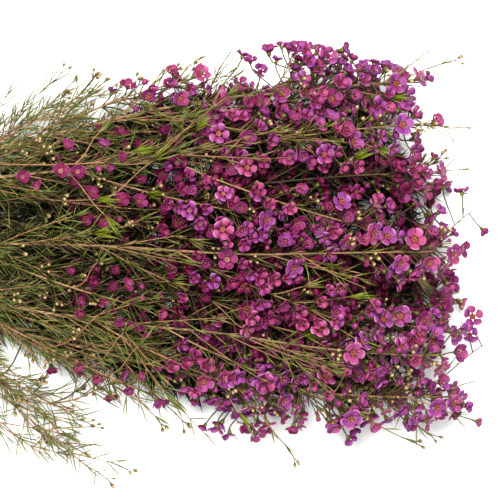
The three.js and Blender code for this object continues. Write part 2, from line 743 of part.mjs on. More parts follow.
/** The whole bunch. */
function waxflowerBunch() {
  const { stems, sprays } = planShoots();
  const stemSkins = stems.map(stemSkin);
  const spraySkins = sprays.map(spraySkin);
  addFlowers(spraySkins, sprays);
  addBuds(spraySkins, sprays);
  addAllNeedles(stems, stemSkins, sprays, spraySkins);
  const bunch = new THREE.Group();
  const numbered = (name, k) => name + "_" + String(k + 1).padStart(2, "0");
  stemSkins.forEach((skin, k) => bunch.add(skin.mesh(numbered("stem", k), COLOURS.leafyStem)));
  spraySkins.forEach((skin, k) => bunch.add(skin.mesh(numbered("spray", k), COLOURS.spray)));
  bunch.add(tieMesh());
  return bunch;
}

export default waxflowerBunch();
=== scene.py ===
"""Dresses a tied bunch of purple waxflower that lies on its side.

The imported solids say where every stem, spray, bloom, bud and leaf of the bunch lies. The seeded rule
that grew them is grown again here, so each solid is replaced by finer pieces in its own place: round
bark, cupped petals, nectar discs with stamens, calyces and slim needle leaves. Side flowers, leafy
twiglets, needles and young buds that the solids leave out are then added between them.

The growth rule and the piece sizes are in millimetres. Meshes are in metres, as the solids are.
"""
import json
import logging
import math
from dataclasses import dataclass, field
from enum import Enum
from typing import Callable, NamedTuple

import bmesh
import bpy
import numpy as np
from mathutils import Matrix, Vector

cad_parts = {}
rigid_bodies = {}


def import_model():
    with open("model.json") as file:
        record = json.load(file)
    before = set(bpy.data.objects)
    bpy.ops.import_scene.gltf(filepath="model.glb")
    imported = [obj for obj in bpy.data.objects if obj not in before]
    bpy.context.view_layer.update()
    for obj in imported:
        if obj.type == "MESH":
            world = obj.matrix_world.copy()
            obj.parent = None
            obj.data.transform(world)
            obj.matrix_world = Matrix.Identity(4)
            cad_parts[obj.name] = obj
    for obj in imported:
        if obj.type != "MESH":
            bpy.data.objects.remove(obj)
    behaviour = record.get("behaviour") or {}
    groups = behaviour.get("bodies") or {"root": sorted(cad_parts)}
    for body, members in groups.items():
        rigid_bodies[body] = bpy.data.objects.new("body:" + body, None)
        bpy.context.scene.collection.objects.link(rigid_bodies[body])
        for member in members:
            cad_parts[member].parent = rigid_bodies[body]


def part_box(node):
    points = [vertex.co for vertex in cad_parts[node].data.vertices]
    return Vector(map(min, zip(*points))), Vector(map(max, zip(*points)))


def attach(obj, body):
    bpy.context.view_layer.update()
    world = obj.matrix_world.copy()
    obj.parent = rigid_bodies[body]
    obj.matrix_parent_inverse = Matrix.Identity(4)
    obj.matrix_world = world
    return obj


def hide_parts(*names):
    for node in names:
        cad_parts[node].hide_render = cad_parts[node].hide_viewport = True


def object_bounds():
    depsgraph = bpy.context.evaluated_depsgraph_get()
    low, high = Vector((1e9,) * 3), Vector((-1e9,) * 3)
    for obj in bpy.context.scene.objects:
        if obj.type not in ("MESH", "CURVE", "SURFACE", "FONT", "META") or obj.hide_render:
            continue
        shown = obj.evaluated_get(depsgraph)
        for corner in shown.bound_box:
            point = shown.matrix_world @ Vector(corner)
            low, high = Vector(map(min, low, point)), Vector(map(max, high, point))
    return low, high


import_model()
CAD_BOX = [list(corner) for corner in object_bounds()]

LOG = logging.getLogger("waxflower")
Vec = np.ndarray
Span = tuple[float, float]  # the two ends of a range
MM = 0.001  # metres
UP = np.array([0.0, 0.0, 1.0])
FORWARD = np.array([1.0, 0.0, 0.0])

# ---- sizes of the growth, in mm and degrees

SEED = 345
CLEARANCE = 0.35
SINK = 1.2


@dataclass(frozen=True)
class StemRing:
    """A ring of stems in the tied bundle."""

    count: int
    radius: float
    spread: float
    turn: float
    rolled: float


@dataclass(frozen=True)
class StemSize:
    """A main stem, from its cut end to where its terminal spray begins."""

    radius: float = 2.6
    tip: float = 0.95
    sides: int = 4
    opening: float = 0.66
    gap: float = 0.5
    tip_spreads: Span = (5, 3)
    step_spread: float = 0.03
    steps: tuple[float, ...] = (0, 0.12, 0.24, 0.36, 0.48, 0.6, 0.73, 0.86, 1)
    sway: float = 2.6
    waves: float = 9
    cut_x: float = -112
    cut_ragged: float = 9
    cut_splay: float = 1.5
    held: float = 9


@dataclass(frozen=True)
class HeadSize:
    """The flowering head: half axes, its middle, its shoulder by the stems, and its front."""

    half_width: float = 116
    half_height: float = 47
    side: float = -6
    height: float = 52
    shoulder_x: float = 214
    shoulder: float = 82
    widening: float = 0.5
    least: float = 20
    front_x: float = 441
    front_side: float = -25
    fall: float = 0.0023
    ragged: float = 20

    def front_at(self, y: float) -> float:
        """How far forward the head reaches, at a place across it."""
        return self.front_x - self.fall * (y - self.front_side) ** 2

    def half_width_at(self, x: float) -> float:
        """Half the head's width at a place along it."""
        return min(self.half_width, max(self.least, self.shoulder + self.widening * (x - self.shoulder_x)))

    def outward(self, at: Vec) -> Vec:
        """Outward from the middle of the head, one unit at its skin."""
        across = (at[1] - self.side) / self.half_width_at(at[0])
        return np.array([0.0, across, (at[2] - self.height) / self.half_height])

    def outside(self, at: Vec) -> float:
        """How far a place lies outside the head, in millimetres or so, or 0 inside it."""
        out = self.outward(at)
        past = max(0.0, at[0] - self.front_at(at[1]))
        return past + max(0.0, math.sqrt(out @ out) - 1) * self.half_width


@dataclass(frozen=True)
class ShootKind:
    """A kind of side shoot: a flowering branch or a leafy twig."""

    length: float
    steps: int
    lean: float
    radius: float
    tip: float
    beyond: float
    drift: float
    pointed: bool
    places: tuple[float, ...]
    lean_spread: float = 7
    up_spread: float = 0.12
    stretch: Span = (0.85, 1.15)
    tries: int = 12


@dataclass(frozen=True)
class SpraySize:
    """The axis of a flowering spray."""

    terminal: float = 76
    side: float = 80
    most: int = 47
    radius: float = 0.85
    tip: float = 0.6
    gap: float = 0.3
    room: float = 1
    outside: float = 6
    steps: tuple[float, ...] = (0, 0.26, 0.44, 0.6, 0.75, 0.88, 1)
    forward: Span = (0.1, 0.5)
    outward_spread: float = 0.25
    rise: Span = (0.05, 0.2)
    stretch: Span = (0.9, 1.06)
    tries: int = 40


@dataclass(frozen=True)
class LooseBranch:
    """A long loose branch that hangs out of the bunch: where it leaves a stem, and its tip."""

    x: float
    to: tuple[float, float, float]


@dataclass(frozen=True)
class NeedleSize:
    """A needle leaf of the solids, and the share of free places that bear one."""

    shortest: float = 14
    longest: float = 23
    lean: float = 34
    turn: float = 22
    radius: float = 0.5
    on_twig: float = 0.72
    on_stem: float = 0.6
    on_spray: float = 0.2
    stem_from: float = 250
    lean_spread: float = 9
    tries: int = 5


@dataclass(frozen=True)
class FlowerSize:
    """A flower: its stalk, its calyx, and its petals when open or still a cup."""

    stalk: float = 10.5
    stalk_radius: float = 0.55
    lean: float = 52
    turn: float = 34
    calyx: float = 3.8
    calyx_radius: float = 1.5
    petal: float = 7.2
    rise: float = 0.8
    petal_rod: float = 1.7
    petal_inset: float = 1.6
    cup_rise: float = 3
    cup_rod: float = 3.5
    face_out: float = 0.6
    face_up: float = 0.45
    least_facing: float = 0.6
    open_share: float = 0.62
    second_share: float = 0.5
    lean_spread: float = 14
    end_lean: float = 20
    stretch: Span = (0.75, 1.25)
    tries: int = 16


@dataclass(frozen=True)
class BudSize:
    """A closed bud on its stalk."""

    radius: float = 1.9
    length: float = 4.6
    stalk: float = 8
    lean: float = 44
    turn: float = 26
    stalk_radius: float = 0.7
    share: float = 0.34
    lean_spread: float = 8
    tries: int = 8


INNER_RING = StemRing(count=3, radius=4.2, spread=0.4, turn=30, rolled=45)
OUTER_RING = StemRing(count=9, radius=9.6, spread=0.84, turn=-70, rolled=0)
TIE_PLAY = 0.35
TIE_THICKNESS = 1.6
BUNDLE_HEIGHT = OUTER_RING.radius + StemSize.radius + TIE_PLAY + TIE_THICKNESS
STEM = StemSize()
HEAD = HeadSize()
BRANCH = ShootKind(
    length=40, steps=2, lean=32, radius=0.95, tip=0.85, beyond=45, drift=0.35, pointed=False,
    places=(0.45, 0.63, 0.8),
)
TWIG = ShootKind(
    length=56, steps=5, lean=38, radius=0.9, tip=0.55, beyond=12, drift=0.3, pointed=True,
    places=(0.1, 0.22, 0.34, 0.46),
)
SPRAY = SpraySize()
NEEDLE = NeedleSize()
FLOWER = FlowerSize()
BUD = BudSize()
LOOSE_BRANCHES = (
    LooseBranch(84, (204, -149, 9)),
    LooseBranch(70, (176, -134, 8)),
    LooseBranch(96, (198, -112, 14)),
    LooseBranch(118, (214, -98, 16)),
    LooseBranch(78, (186, -126, 22)),
    LooseBranch(92, (207, 88, 44)),
    LooseBranch(66, (172, 78, 30)),
)
FLOWERY = ((205, 232, 262, 292, 330, 410, 440), (0.0, 0.05, 0.42, 0.76, 0.56, 0.46, 0.22))  # share, by x
BARE = ((210, 268), (1.0, 2.1))  # how much further apart needles stand, by x
RIPENS = (235, 285)  # the places along the bunch between which flowers and buds come to full growth
LOOSE_BOW_SIDE = 10
LOOSE_BOW_FRONT = 5
LOOSE_TRIES = 16
LOOSE_STEMS = 4
BRANCH_TURNS = (-26, 0, 26)
BRANCH_PLAY = 8
BRANCH_SITES = 8
LEAST_FORK = 20
LOWEST_SHOOT = 4
ROOM_PARENT = 1.2
ROOM_OTHERS = 0.8
FOOT = 1.1
ROOT_SPARE = 0.1
LEAST_SLOPE = 0.4
LOOKS_SEED = 5

# ---- vectors


def unit(v: Vec) -> Vec:
    """The unit vector along v."""
    return v / math.sqrt(v @ v)


def cross(a: Vec, b: Vec) -> Vec:
    """The cross product of two vectors."""
    return np.array([a[1] * b[2] - a[2] * b[1], a[2] * b[0] - a[0] * b[2], a[0] * b[1] - a[1] * b[0]])


def square_to(v: Vec, axis: Vec) -> Vec:
    """The part of v that is square to an axis, as a unit vector."""
    return unit(v - axis * (v @ axis))


def even_angles(count: int) -> list[float]:
    """Angles that divide a turn evenly."""
    return [k * 2 * math.pi / count for k in range(count)]


def even_parts(steps: int) -> list[float]:
    """Numbers from 0 to 1 in even steps."""
    return [k / steps for k in range(steps + 1)]


def name_of(kind: str, k: int) -> str:
    """The name of the solid of a stem or spray, which are counted from 0."""
    return f"{kind}_{k + 1:02d}"


@dataclass
class Frame:
    """A place with an axis and two directions square to it."""

    at: Vec
    axis: Vec
    across: Vec
    up: Vec

    def leaning(self, lean: float, azimuth: float) -> Vec:
        """The unit vector that leans from the axis.

        Args:
            lean: the angle from the axis, in degrees.
            azimuth: the side it leans to, in radians.

        Returns:
            The unit vector.
        """
        slope = math.sin(math.radians(lean))
        heading = self.axis * math.cos(math.radians(lean)) + self.across * (math.cos(azimuth) * slope)
        return heading + self.up * (math.sin(azimuth) * slope)

    def matrix(self) -> Vec:
        """The turn whose columns are across, up and the axis."""
        return np.stack([self.across, self.up, self.axis], axis=1)


class SeededDraw:
    """The seeded source of numbers that grew the solids."""

    MASK = 0xFFFFFFFF
    STRIDE = 0x6D2B79F5

    def __init__(self, seed: int) -> None:
        """Starts at a seed."""
        self.state = seed & self.MASK

    def part(self) -> float:
        """The next number from 0 to 1."""
        self.state = (self.state + self.STRIDE) & self.MASK
        t = ((self.state ^ (self.state >> 15)) * (self.state | 1)) & self.MASK
        t = ((t + (t ^ (t >> 7)) * (t | 61)) & self.MASK) ^ t
        return (t ^ (t >> 14)) / (self.MASK + 1)

    def between(self, low: float, high: float) -> float:
        """The next number between two."""
        return low + (high - low) * self.part()

    def around(self, middle: float, spread: float) -> float:
        """The next number around a middle."""
        return middle + spread * (2 * self.part() - 1)

    def azimuth(self) -> float:
        """The next direction round an axis, in radians."""
        return self.between(0, 2 * math.pi)


# ---- keeping things clear


class Rod(NamedTuple):
    """A thickened segment that stands for a piece of the plant."""

    start: Vec
    end: Vec
    radius: float


class Thicket:
    """Every rod that has been kept, so that the next one can be held clear of it."""

    def __init__(self, capacity: int = 60000) -> None:
        """Makes room for rods.

        Args:
            capacity: how many.
        """
        self.count = 0
        self.starts = np.zeros((capacity, 3))
        self.spans = np.zeros((capacity, 3))
        self.middles = np.zeros((capacity, 3))
        self.halves = np.zeros(capacity)
        self.radii = np.zeros(capacity)
        self.owners = np.full(capacity, -1)

    def add(self, rods: list[Rod], owner: int = -1) -> None:
        """Keeps rods.

        Args:
            rods: the rods.
            owner: the shoot that they are part of, if any.
        """
        for rod in rods:
            k = self.count
            span = rod.end - rod.start
            self.starts[k], self.spans[k], self.middles[k] = rod.start, span, rod.start + span * 0.5
            self.halves[k], self.radii[k], self.owners[k] = math.sqrt(span @ span) / 2, rod.radius, owner
            self.count += 1

    def is_clear(self, rods: list[Rod], margin: float = CLEARANCE, owner: int | None = None) -> bool:
        """Whether rods keep a margin from all that is there.

        Args:
            rods: the rods to test.
            margin: the least gap, in millimetres.
            owner: a shoot whose own rods don't count.

        Returns:
            True if they are clear, and don't reach far below the surface.
        """
        return all(self._is_one_clear(rod, margin, owner) for rod in rods)

    def _is_one_clear(self, rod: Rod, margin: float, owner: int | None) -> bool:
        """Whether one rod keeps a margin from all that is there.

        Args:
            rod: the rod to test.
            margin: the least gap, in millimetres.
            owner: a shoot whose own rods don't count.

        Returns:
            True if it is clear.
        """
        if min(rod.start[2], rod.end[2]) - rod.radius <= -SINK:
            return False
        n = self.count
        span = rod.end - rod.start
        apart = self.middles[:n] - (rod.start + span * 0.5)
        reach = self.halves[:n] + self.radii[:n] + (math.sqrt(span @ span) / 2 + rod.radius + margin)
        near = np.einsum("ij,ij->i", apart, apart) <= reach * reach
        if owner is not None:
            near &= self.owners[:n] != owner
        near = np.flatnonzero(near)
        if not len(near):
            return True
        least = self.radii[near] + rod.radius + margin
        return bool((self._gaps_squared(rod.start, span, near) > least * least).all())

    def _gaps_squared(self, start: Vec, u: Vec, near: Vec) -> Vec:
        """The squares of the least distances between a segment and the middle lines of some rods.

        Args:
            start: the start of the segment.
            u: from its start to its end.
            near: which of the kept rods.

        Returns:
            One number for each rod.
        """
        v = self.spans[near]
        w = start - self.starts[near]
        uu, vv, uv = u @ u, np.einsum("ij,ij->i", v, v), v @ u
        uw, vw = w @ u, np.einsum("ij,ij->i", v, w)
        spread = uu * vv - uv * uv
        with np.errstate(divide="ignore", invalid="ignore"):
            s = np.where(spread > 1e-9, np.clip((uv * vw - uw * vv) / spread, 0, 1), 0)
        t = np.clip((uv * s + vw) / vv, 0, 1)
        best = np.clip((uv * t - uw) / uu, 0, 1)
        gap = w + best[:, None] * u - t[:, None] * v
        return np.einsum("ij,ij->i", gap, gap)


# ---- shoots and what they bear


class Shoot:
    """A stem, branch, twig or spray axis: ring centres, with a frame and a radius at each."""

    made = 0

    def __init__(
        self, points: list[Vec], base: float, tip: float, sides: int = 3, first_up: Vec = UP
    ) -> None:
        """Frames a row of ring centres.

        Args:
            points: the ring centres, in millimetres.
            base: the radius at the first ring.
            tip: the radius at the last ring.
            sides: how many sides its solid has, which say where it can bear something.
            first_up: a direction that the first frame's up leans to.
        """
        Shoot.made += 1
        self.owner = Shoot.made
        self.points, self.sides = points, sides
        last = len(points) - 1
        self.radii = [base + (tip - base) * k / last for k in range(last + 1)]
        self.frames: list[Frame] = []
        self.taken: set[tuple[int, int]] = set()
        self.drawn_out: Vec | None = None
        up = first_up
        for k, at in enumerate(points):
            axis = unit(points[min(k + 1, last)] - points[max(k - 1, 0)])
            across = square_to(cross(up, axis), axis)
            up = cross(axis, across)
            self.frames.append(Frame(at, axis, across, up))

    @property
    def end(self) -> Frame:
        """The frame at its tip."""
        return self.frames[-1]

    def rods(self) -> list[Rod]:
        """The rods that stand for its bark."""
        rings = range(1, len(self.points))
        return [Rod(self.points[k - 1], self.points[k], self.radii[k - 1]) for k in rings]

    def azimuth(self, side: int) -> float:
        """The angle round the axis of the middle of one side."""
        return side * 2 * math.pi / self.sides

    def side_toward(self, ring: int, direction: Vec) -> int:
        """The side that looks most along a direction, at one ring."""
        here = self.frames[ring]
        turns = math.atan2(direction @ here.up, direction @ here.across) / (2 * math.pi)
        return (math.floor(turns * self.sides + 0.5) + self.sides) % self.sides

    def ring_at(self, x: float) -> int:
        """The last ring at or before a place along the bunch."""
        return sum(point[0] <= x for point in self.points) - 1

    def free_sites(self, first_ring: int) -> list[tuple[int, int]]:
        """Every place that bears nothing yet, from the tip back to a ring."""
        rings = range(len(self.points) - 2, first_ring - 1, -1)
        sites = [(ring, side) for ring in rings for side in range(self.sides)]
        return [site for site in sites if site not in self.taken]


class Bloom(NamedTuple):
    """A flower: its head's frame, whether it is open, and where its stalk starts and heads."""

    head: Frame
    is_open: bool
    foot: Vec
    heading: Vec


class Young(NamedTuple):
    """A closed bud: its head's frame, and where its stalk starts."""

    head: Frame
    foot: Vec


class Leaf(NamedTuple):
    """A needle leaf from its foot to its tip."""

    foot: Vec
    tip: Vec


@dataclass
class Grown:
    """All that one solid holds: its shoots with the foot of each, and what they bear."""

    shoots: list[tuple[Shoot, Vec | None]] = field(default_factory=list)
    blooms: list[Bloom] = field(default_factory=list)
    buds: list[Young] = field(default_factory=list)
    leaves: list[Leaf] = field(default_factory=list)


@dataclass
class Stem:
    """A main stem and the side shoots that leave it."""

    axis: Shoot
    shoots: list[tuple[Shoot, int, int]] = field(default_factory=list)

    @property
    def side_shoots(self) -> list[Shoot]:
        """The side shoots alone, without their sites."""
        return [shoot for shoot, _, _ in self.shoots]

    def is_free(self, ring: int, side: int) -> bool:
        """Whether nothing leaves the stem at a site yet."""
        return not any((at, on) == (ring, side) for _, at, on in self.shoots)


class Site(NamedTuple):
    """Where a side shoot may leave its stem, and the room that its spray would have."""

    ring: int
    side: int
    turn: float = 0
    play: float = 22
    room: float = 0


class Growth:
    """Grows the whole bunch again by the rule and the draws that grew its solids."""

    def __init__(self) -> None:
        """Starts with nothing grown."""
        self.draw = SeededDraw(SEED)
        self.thicket = Thicket()
        self.stems: list[Stem] = []
        self.sprays: list[Shoot] = []
        self.grown: dict[str, Grown] = {}

    def grow(self) -> dict[str, Grown]:
        """Grows it all.

        Returns:
            What each solid holds, by the solid's name.
        """
        self._plan_shoots()
        for k, stem in enumerate(self.stems):
            node = self.grown[name_of("stem", k)] = Grown()
            node.shoots.append((stem.axis, None))
            for shoot, ring, side in stem.shoots:
                stem.axis.taken.add((ring, side))
                node.shoots.append((shoot, stem.axis.points[ring]))
        self.spray_nodes = [Grown([(spray, None)]) for spray in self.sprays]
        self.grown.update({name_of("spray", k): node for k, node in enumerate(self.spray_nodes)})
        self._add_flowers()
        self._add_buds()
        self._add_leaves()
        return self.grown

    # -- shoots

    @staticmethod
    def grow_points(start: Vec, heading: Vec, length: float, steps: list[float], drift: Vec) -> list[Vec]:
        """Ring centres of a shoot that sets out along a heading and bends toward a drift.

        Args:
            start: the first ring centre.
            heading: the direction that it sets out along.
            length: how long it is.
            steps: the part of the length at each ring.
            drift: what is added to its direction over its whole length.

        Returns:
            The ring centres.
        """
        points = [start]
        ahead = heading
        for before, after in zip(steps, steps[1:]):
            step = after - before
            ahead = unit(ahead + drift * step)
            reached = points[-1] + ahead * (length * step)
            reached[2] = max(reached[2], LOWEST_SHOOT)
            ahead = unit(reached - points[-1])
            points.append(reached)
        return points

    def _grow_stem(self, ring: StemRing, angle: float) -> Shoot:
        """A main stem from its cut end through the tie to where its terminal spray begins.

        Args:
            ring: its ring in the bundle.
            angle: its place in the ring, in radians.

        Returns:
            Its axis.
        """
        draw = self.draw
        side_spread, rise_spread = STEM.tip_spreads
        tied_y = ring.radius * math.cos(angle)
        tied_z = BUNDLE_HEIGHT + ring.radius * math.sin(angle)
        tip_y = HEAD.side + ring.spread * HEAD.half_width * math.cos(angle) + draw.around(0, side_spread)
        tip_z = HEAD.height + ring.spread * HEAD.half_height * math.sin(angle) + draw.around(0, rise_spread)
        tip_x = HEAD.front_at(tip_y) - SPRAY.terminal - draw.between(0, HEAD.ragged)
        points = []
        for x in (STEM.cut_x + draw.around(0, STEM.cut_ragged), STEM.cut_x * 0.5, -STEM.held):
            splay = 1 + (STEM.cut_splay - 1) * (-x - STEM.held) / -STEM.cut_x
            points.append(np.array([x, tied_y * splay, tied_z]))
        wave = draw.azimuth()
        for step in STEM.steps:
            t = step + draw.around(0, STEM.step_spread) if 0 < step < 1 else step
            sway = STEM.sway * math.sin(wave + t * STEM.waves) * t
            y = tied_y + (tip_y - tied_y) * t**STEM.opening + sway
            x = STEM.held + (tip_x - STEM.held) * t
            points.append(np.array([x, y, tied_z + (tip_z - tied_z) * t]))
        corner = angle + math.radians(ring.rolled) + math.pi / STEM.sides
        first_up = np.array([0.0, math.cos(corner), math.sin(corner)])
        return Shoot(points, STEM.radius, STEM.tip, STEM.sides, first_up)

    def _plan_stem(self, ring: StemRing, angle: float) -> Stem:
        """A main stem that passes clear of those that are there.

        Args:
            ring: its ring in the bundle.
            angle: its place in the ring, in radians.

        Returns:
            The stem, with nothing on it yet.
        """
        while True:
            axis = self._grow_stem(ring, angle)
            if self.thicket.is_clear(axis.rods(), STEM.gap):
                self.thicket.add(axis.rods(), axis.owner)
                return Stem(axis)

    def _keep_shoot(self, shoot: Shoot, parent: Shoot, beyond: float, pointed: bool) -> bool:
        """Keeps a side shoot if it is clear.

        Args:
            shoot: the shoot.
            parent: the shoot that it leaves.
            beyond: how far past its end there has to be room too.
            pointed: whether it is drawn out to a tip there.

        Returns:
            True if it was kept.
        """
        tip = shoot.end.at + shoot.end.axis * beyond
        rods = shoot.rods() + [Rod(shoot.end.at, tip, TWIG.tip + 0.05)]
        if not self.thicket.is_clear(rods[1:], ROOM_OTHERS):
            return False
        if not self.thicket.is_clear(rods, ROOM_PARENT, parent.owner):
            return False
        self.thicket.add(rods if pointed else shoot.rods(), shoot.owner)
        shoot.drawn_out = tip if pointed else None
        return True

    def _plan_shoot(self, parent: Shoot, site: Site, kind: ShootKind) -> Shoot | None:
        """A branch or twig from a side of its parent.

        Args:
            parent: the shoot that it leaves.
            site: where it leaves it.
            kind: its size and shape.

        Returns:
            The shoot, or None if there is no room for it.
        """
        draw, here = self.draw, parent.frames[site.ring]
        steps = even_parts(kind.steps)
        for _ in range(kind.tries):
            azimuth = parent.azimuth(site.side) + math.radians(draw.around(site.turn, site.play))
            heading = here.leaning(draw.around(kind.lean, kind.lean_spread), azimuth)
            drift = FORWARD * kind.drift + UP * draw.around(0, kind.up_spread)
            length = kind.length * draw.between(*kind.stretch)
            foot = here.at + heading * (parent.radii[site.ring] * FOOT)
            points = Growth.grow_points(foot, heading, length, steps, drift)
            shoot = Shoot(points, kind.radius, kind.tip, 3, cross(here.axis, heading))
            if self._keep_shoot(shoot, parent, kind.beyond, kind.pointed):
                return shoot
        return None

    def _plan_loose(self, parent: Shoot, site: Site, to: Vec) -> Shoot | None:
        """A long leafy branch to a given tip, bowed to the side it leaves.

        Args:
            parent: the stem that it leaves.
            site: where it leaves it.
            to: its tip, give or take.

        Returns:
            The branch, or None if there is no room for it.
        """
        draw, here = self.draw, parent.frames[site.ring]
        sideways = here.leaning(90, parent.azimuth(site.side))
        for _ in range(LOOSE_TRIES):
            tip = to + np.array([draw.around(0, 5), draw.around(0, 3), draw.around(2, 2)])
            heading = unit(tip - here.at)
            foot = here.at + heading * (parent.radii[site.ring] * FOOT)
            bow = FORWARD * draw.around(LOOSE_BOW_FRONT, 4)
            bow = bow + sideways * draw.around(LOOSE_BOW_SIDE, 3)
            points = [foot + (tip - foot) * t + bow * math.sin(math.pi * t) for t in even_parts(8)]
            shoot = Shoot(points, 1, TWIG.tip, 3, cross(here.axis, heading))
            if self._keep_shoot(shoot, parent, TWIG.beyond, True):
                return shoot
        return None

    def _plan_spray(self, carrier: Shoot, length: float) -> Shoot | None:
        """The axis of a flowering spray that goes on from the end of a branch or stem.

        Args:
            carrier: the branch or stem.
            length: how long it is, give or take.

        Returns:
            The axis, or None if there is no room for it in the head.
        """
        draw, end = self.draw, carrier.end
        start = end.at + end.axis * SPRAY.gap
        for _ in range(SPRAY.tries):
            drift = FORWARD * draw.between(*SPRAY.forward)
            drift = drift + HEAD.outward(start) * draw.around(0, SPRAY.outward_spread)
            drift = drift + UP * draw.around(*SPRAY.rise)
            reach = length * draw.between(*SPRAY.stretch)
            points = Growth.grow_points(start, end.axis, reach, list(SPRAY.steps), drift)
            spray = Shoot(points, SPRAY.radius, SPRAY.tip, 3, end.up)
            if HEAD.outside(spray.end.at) > SPRAY.outside:
                continue
            if self.thicket.is_clear(spray.rods(), SPRAY.room, carrier.owner):
                self.thicket.add(spray.rods(), spray.owner)
                return spray
        return None

    def _ring_along(self, axis: Shoot, part: float) -> int:
        """The ring of a stem that lies a part of the way along it, give or take."""
        part += self.draw.around(0, 0.04)
        return axis.ring_at(STEM.held + (axis.end.at[0] - STEM.held) * part)

    def _roomiest(self, stem: Stem, ring: int) -> list[Site]:
        """The sites at a ring of a stem, those first whose spray would have the most room.

        Args:
            stem: the stem.
            ring: the ring.

        Returns:
            Its free sites.
        """
        here = stem.axis.frames[ring]
        middles = np.array([spray.points[3] for spray in self.sprays])
        sites = []
        for side in range(stem.axis.sides):
            for turn in BRANCH_TURNS:
                heading = here.leaning(BRANCH.lean, stem.axis.azimuth(side) + math.radians(turn))
                middle = here.at + heading * SPRAY.side + FORWARD * (SPRAY.side * 0.3)
                tip = here.at + heading * (SPRAY.side * 1.25) + FORWARD * (SPRAY.side * 0.6)
                room = np.sqrt(((middles - middle) ** 2).sum(axis=1)).min() - HEAD.outside(tip)
                if stem.is_free(ring, side):
                    sites.append(Site(ring, side, turn, BRANCH_PLAY, room))
        return sorted(sites, key=lambda site: -site.room)

    def _add_branch(self, stem: Stem, part: float) -> None:
        """Adds a branch to a stem, and a flowering spray that goes on from it.

        Args:
            stem: the stem.
            part: how far along the stem it leaves, from 0 to 1.
        """
        for site in self._roomiest(stem, self._ring_along(stem.axis, part))[:BRANCH_SITES]:
            before = self.thicket.count
            shoot = self._plan_shoot(stem.axis, site, BRANCH)
            spray = self._plan_spray(shoot, SPRAY.side) if shoot else None
            if spray is not None:
                stem.shoots.append((shoot, site.ring, site.side))
                self.sprays.append(spray)
                return
            self.thicket.count = before

    def _add_twig(self, stem: Stem, part: float, wanted: Vec) -> None:
        """Adds a leafy twig to a stem.

        Args:
            stem: the stem.
            part: how far along the stem it leaves, from 0 to 1.
            wanted: a direction, which the side that it leaves looks along.
        """
        ring = self._ring_along(stem.axis, part)
        side = stem.axis.side_toward(ring, wanted)
        shoot = self._plan_shoot(stem.axis, Site(ring, side), TWIG) if stem.is_free(ring, side) else None
        if shoot is not None:
            stem.shoots.append((shoot, ring, side))

    def _add_loose(self, loose: LooseBranch) -> None:
        """Adds a loose branch to the stem that is nearest to its tip across the bunch, if it fits.

        Args:
            loose: the branch.
        """
        to = np.array(loose.to, float)

        def gap_to(stem: Stem) -> float:
            """How far a stem is from the tip across the bunch."""
            return abs(stem.axis.points[stem.axis.ring_at(loose.x)][1] - to[1])

        for stem in sorted(self.stems, key=gap_to)[:LOOSE_STEMS]:
            axis, ring = stem.axis, stem.axis.ring_at(loose.x)
            wanted = to - axis.points[ring]
            side = axis.side_toward(ring, wanted)
            fork = math.acos(unit(wanted) @ axis.frames[ring].axis)
            if fork < math.radians(LEAST_FORK) or not stem.is_free(ring, side):
                continue
            shoot = self._plan_loose(axis, Site(ring, side), to)
            if shoot is not None:
                stem.shoots.append((shoot, ring, side))
                return

    def _plan_shoots(self) -> None:
        """Grows the stems, their branches and twigs, and the axes of the sprays."""
        for ring in (OUTER_RING, INNER_RING):
            for turn in even_angles(ring.count):
                self.stems.append(self._plan_stem(ring, turn + math.radians(ring.turn)))
        for stem in self.stems:
            self.sprays.append(self._plan_spray(stem.axis, SPRAY.terminal))
        for loose in LOOSE_BRANCHES:
            self._add_loose(loose)
        for part in BRANCH.places:
            for stem in self.stems:
                if len(self.sprays) < SPRAY.most:
                    self._add_branch(stem, part)
        for part in TWIG.places:
            for stem in self.stems:
                angle = self.draw.azimuth()
                any_way = np.array([0.0, math.cos(angle), math.sin(angle)])
                self._add_twig(stem, part, HEAD.outward(stem.axis.end.at) + any_way)

    # -- what the shoots bear

    def _settle(self, tries: int, shoot: Shoot, plan: Callable[[], tuple]) -> object | None:
        """The first of some plans on a shoot that is clear, which is then kept.

        Args:
            tries: how many plans are made at most.
            shoot: the shoot that bears it.
            plan: makes a thing with its root rod and its other rods.

        Returns:
            The thing, or None.
        """
        for _ in range(tries):
            thing, root, rods = plan()
            if self.thicket.is_clear(rods) and self.thicket.is_clear([root], CLEARANCE, shoot.owner):
                self.thicket.add(rods)
                self.thicket.add([root], shoot.owner)
                return thing
        return None

    @staticmethod
    def _stalk_rods(here: Frame, heading: Vec, shoot_radius: float, to: Vec, radius: float) -> list[Rod]:
        """A stalk or needle as two rods: the root in its shoot's bark, and the rest.

        Args:
            here: the shoot's frame where it grows.
            heading: the direction that it grows along.
            shoot_radius: the shoot's radius there.
            to: its end.
            radius: its own radius.

        Returns:
            The two rods, the root first.
        """
        slope = max(LEAST_SLOPE, math.sqrt(1 - (heading @ here.axis) ** 2))
        foot = here.at + heading * ((shoot_radius + radius + CLEARANCE + ROOT_SPARE) / slope)
        return [Rod(here.at, foot, radius), Rod(foot, to, radius)]

    @staticmethod
    def stalk_frame(at: Vec, axis: Vec, heading: Vec, parent: Frame) -> Frame:
        """The frame at a stalk's end, turned so that the stalk does not twist on its way.

        Args:
            at: the stalk's end.
            axis: the direction that it faces there.
            heading: the direction that the stalk sets out along.
            parent: the frame of the shoot where it grows.

        Returns:
            The frame.
        """
        near = -parent.across if abs(heading @ parent.axis) > 0.9 else parent.axis
        across = square_to(square_to(near, heading), axis)
        return Frame(at, axis, across, cross(axis, across))

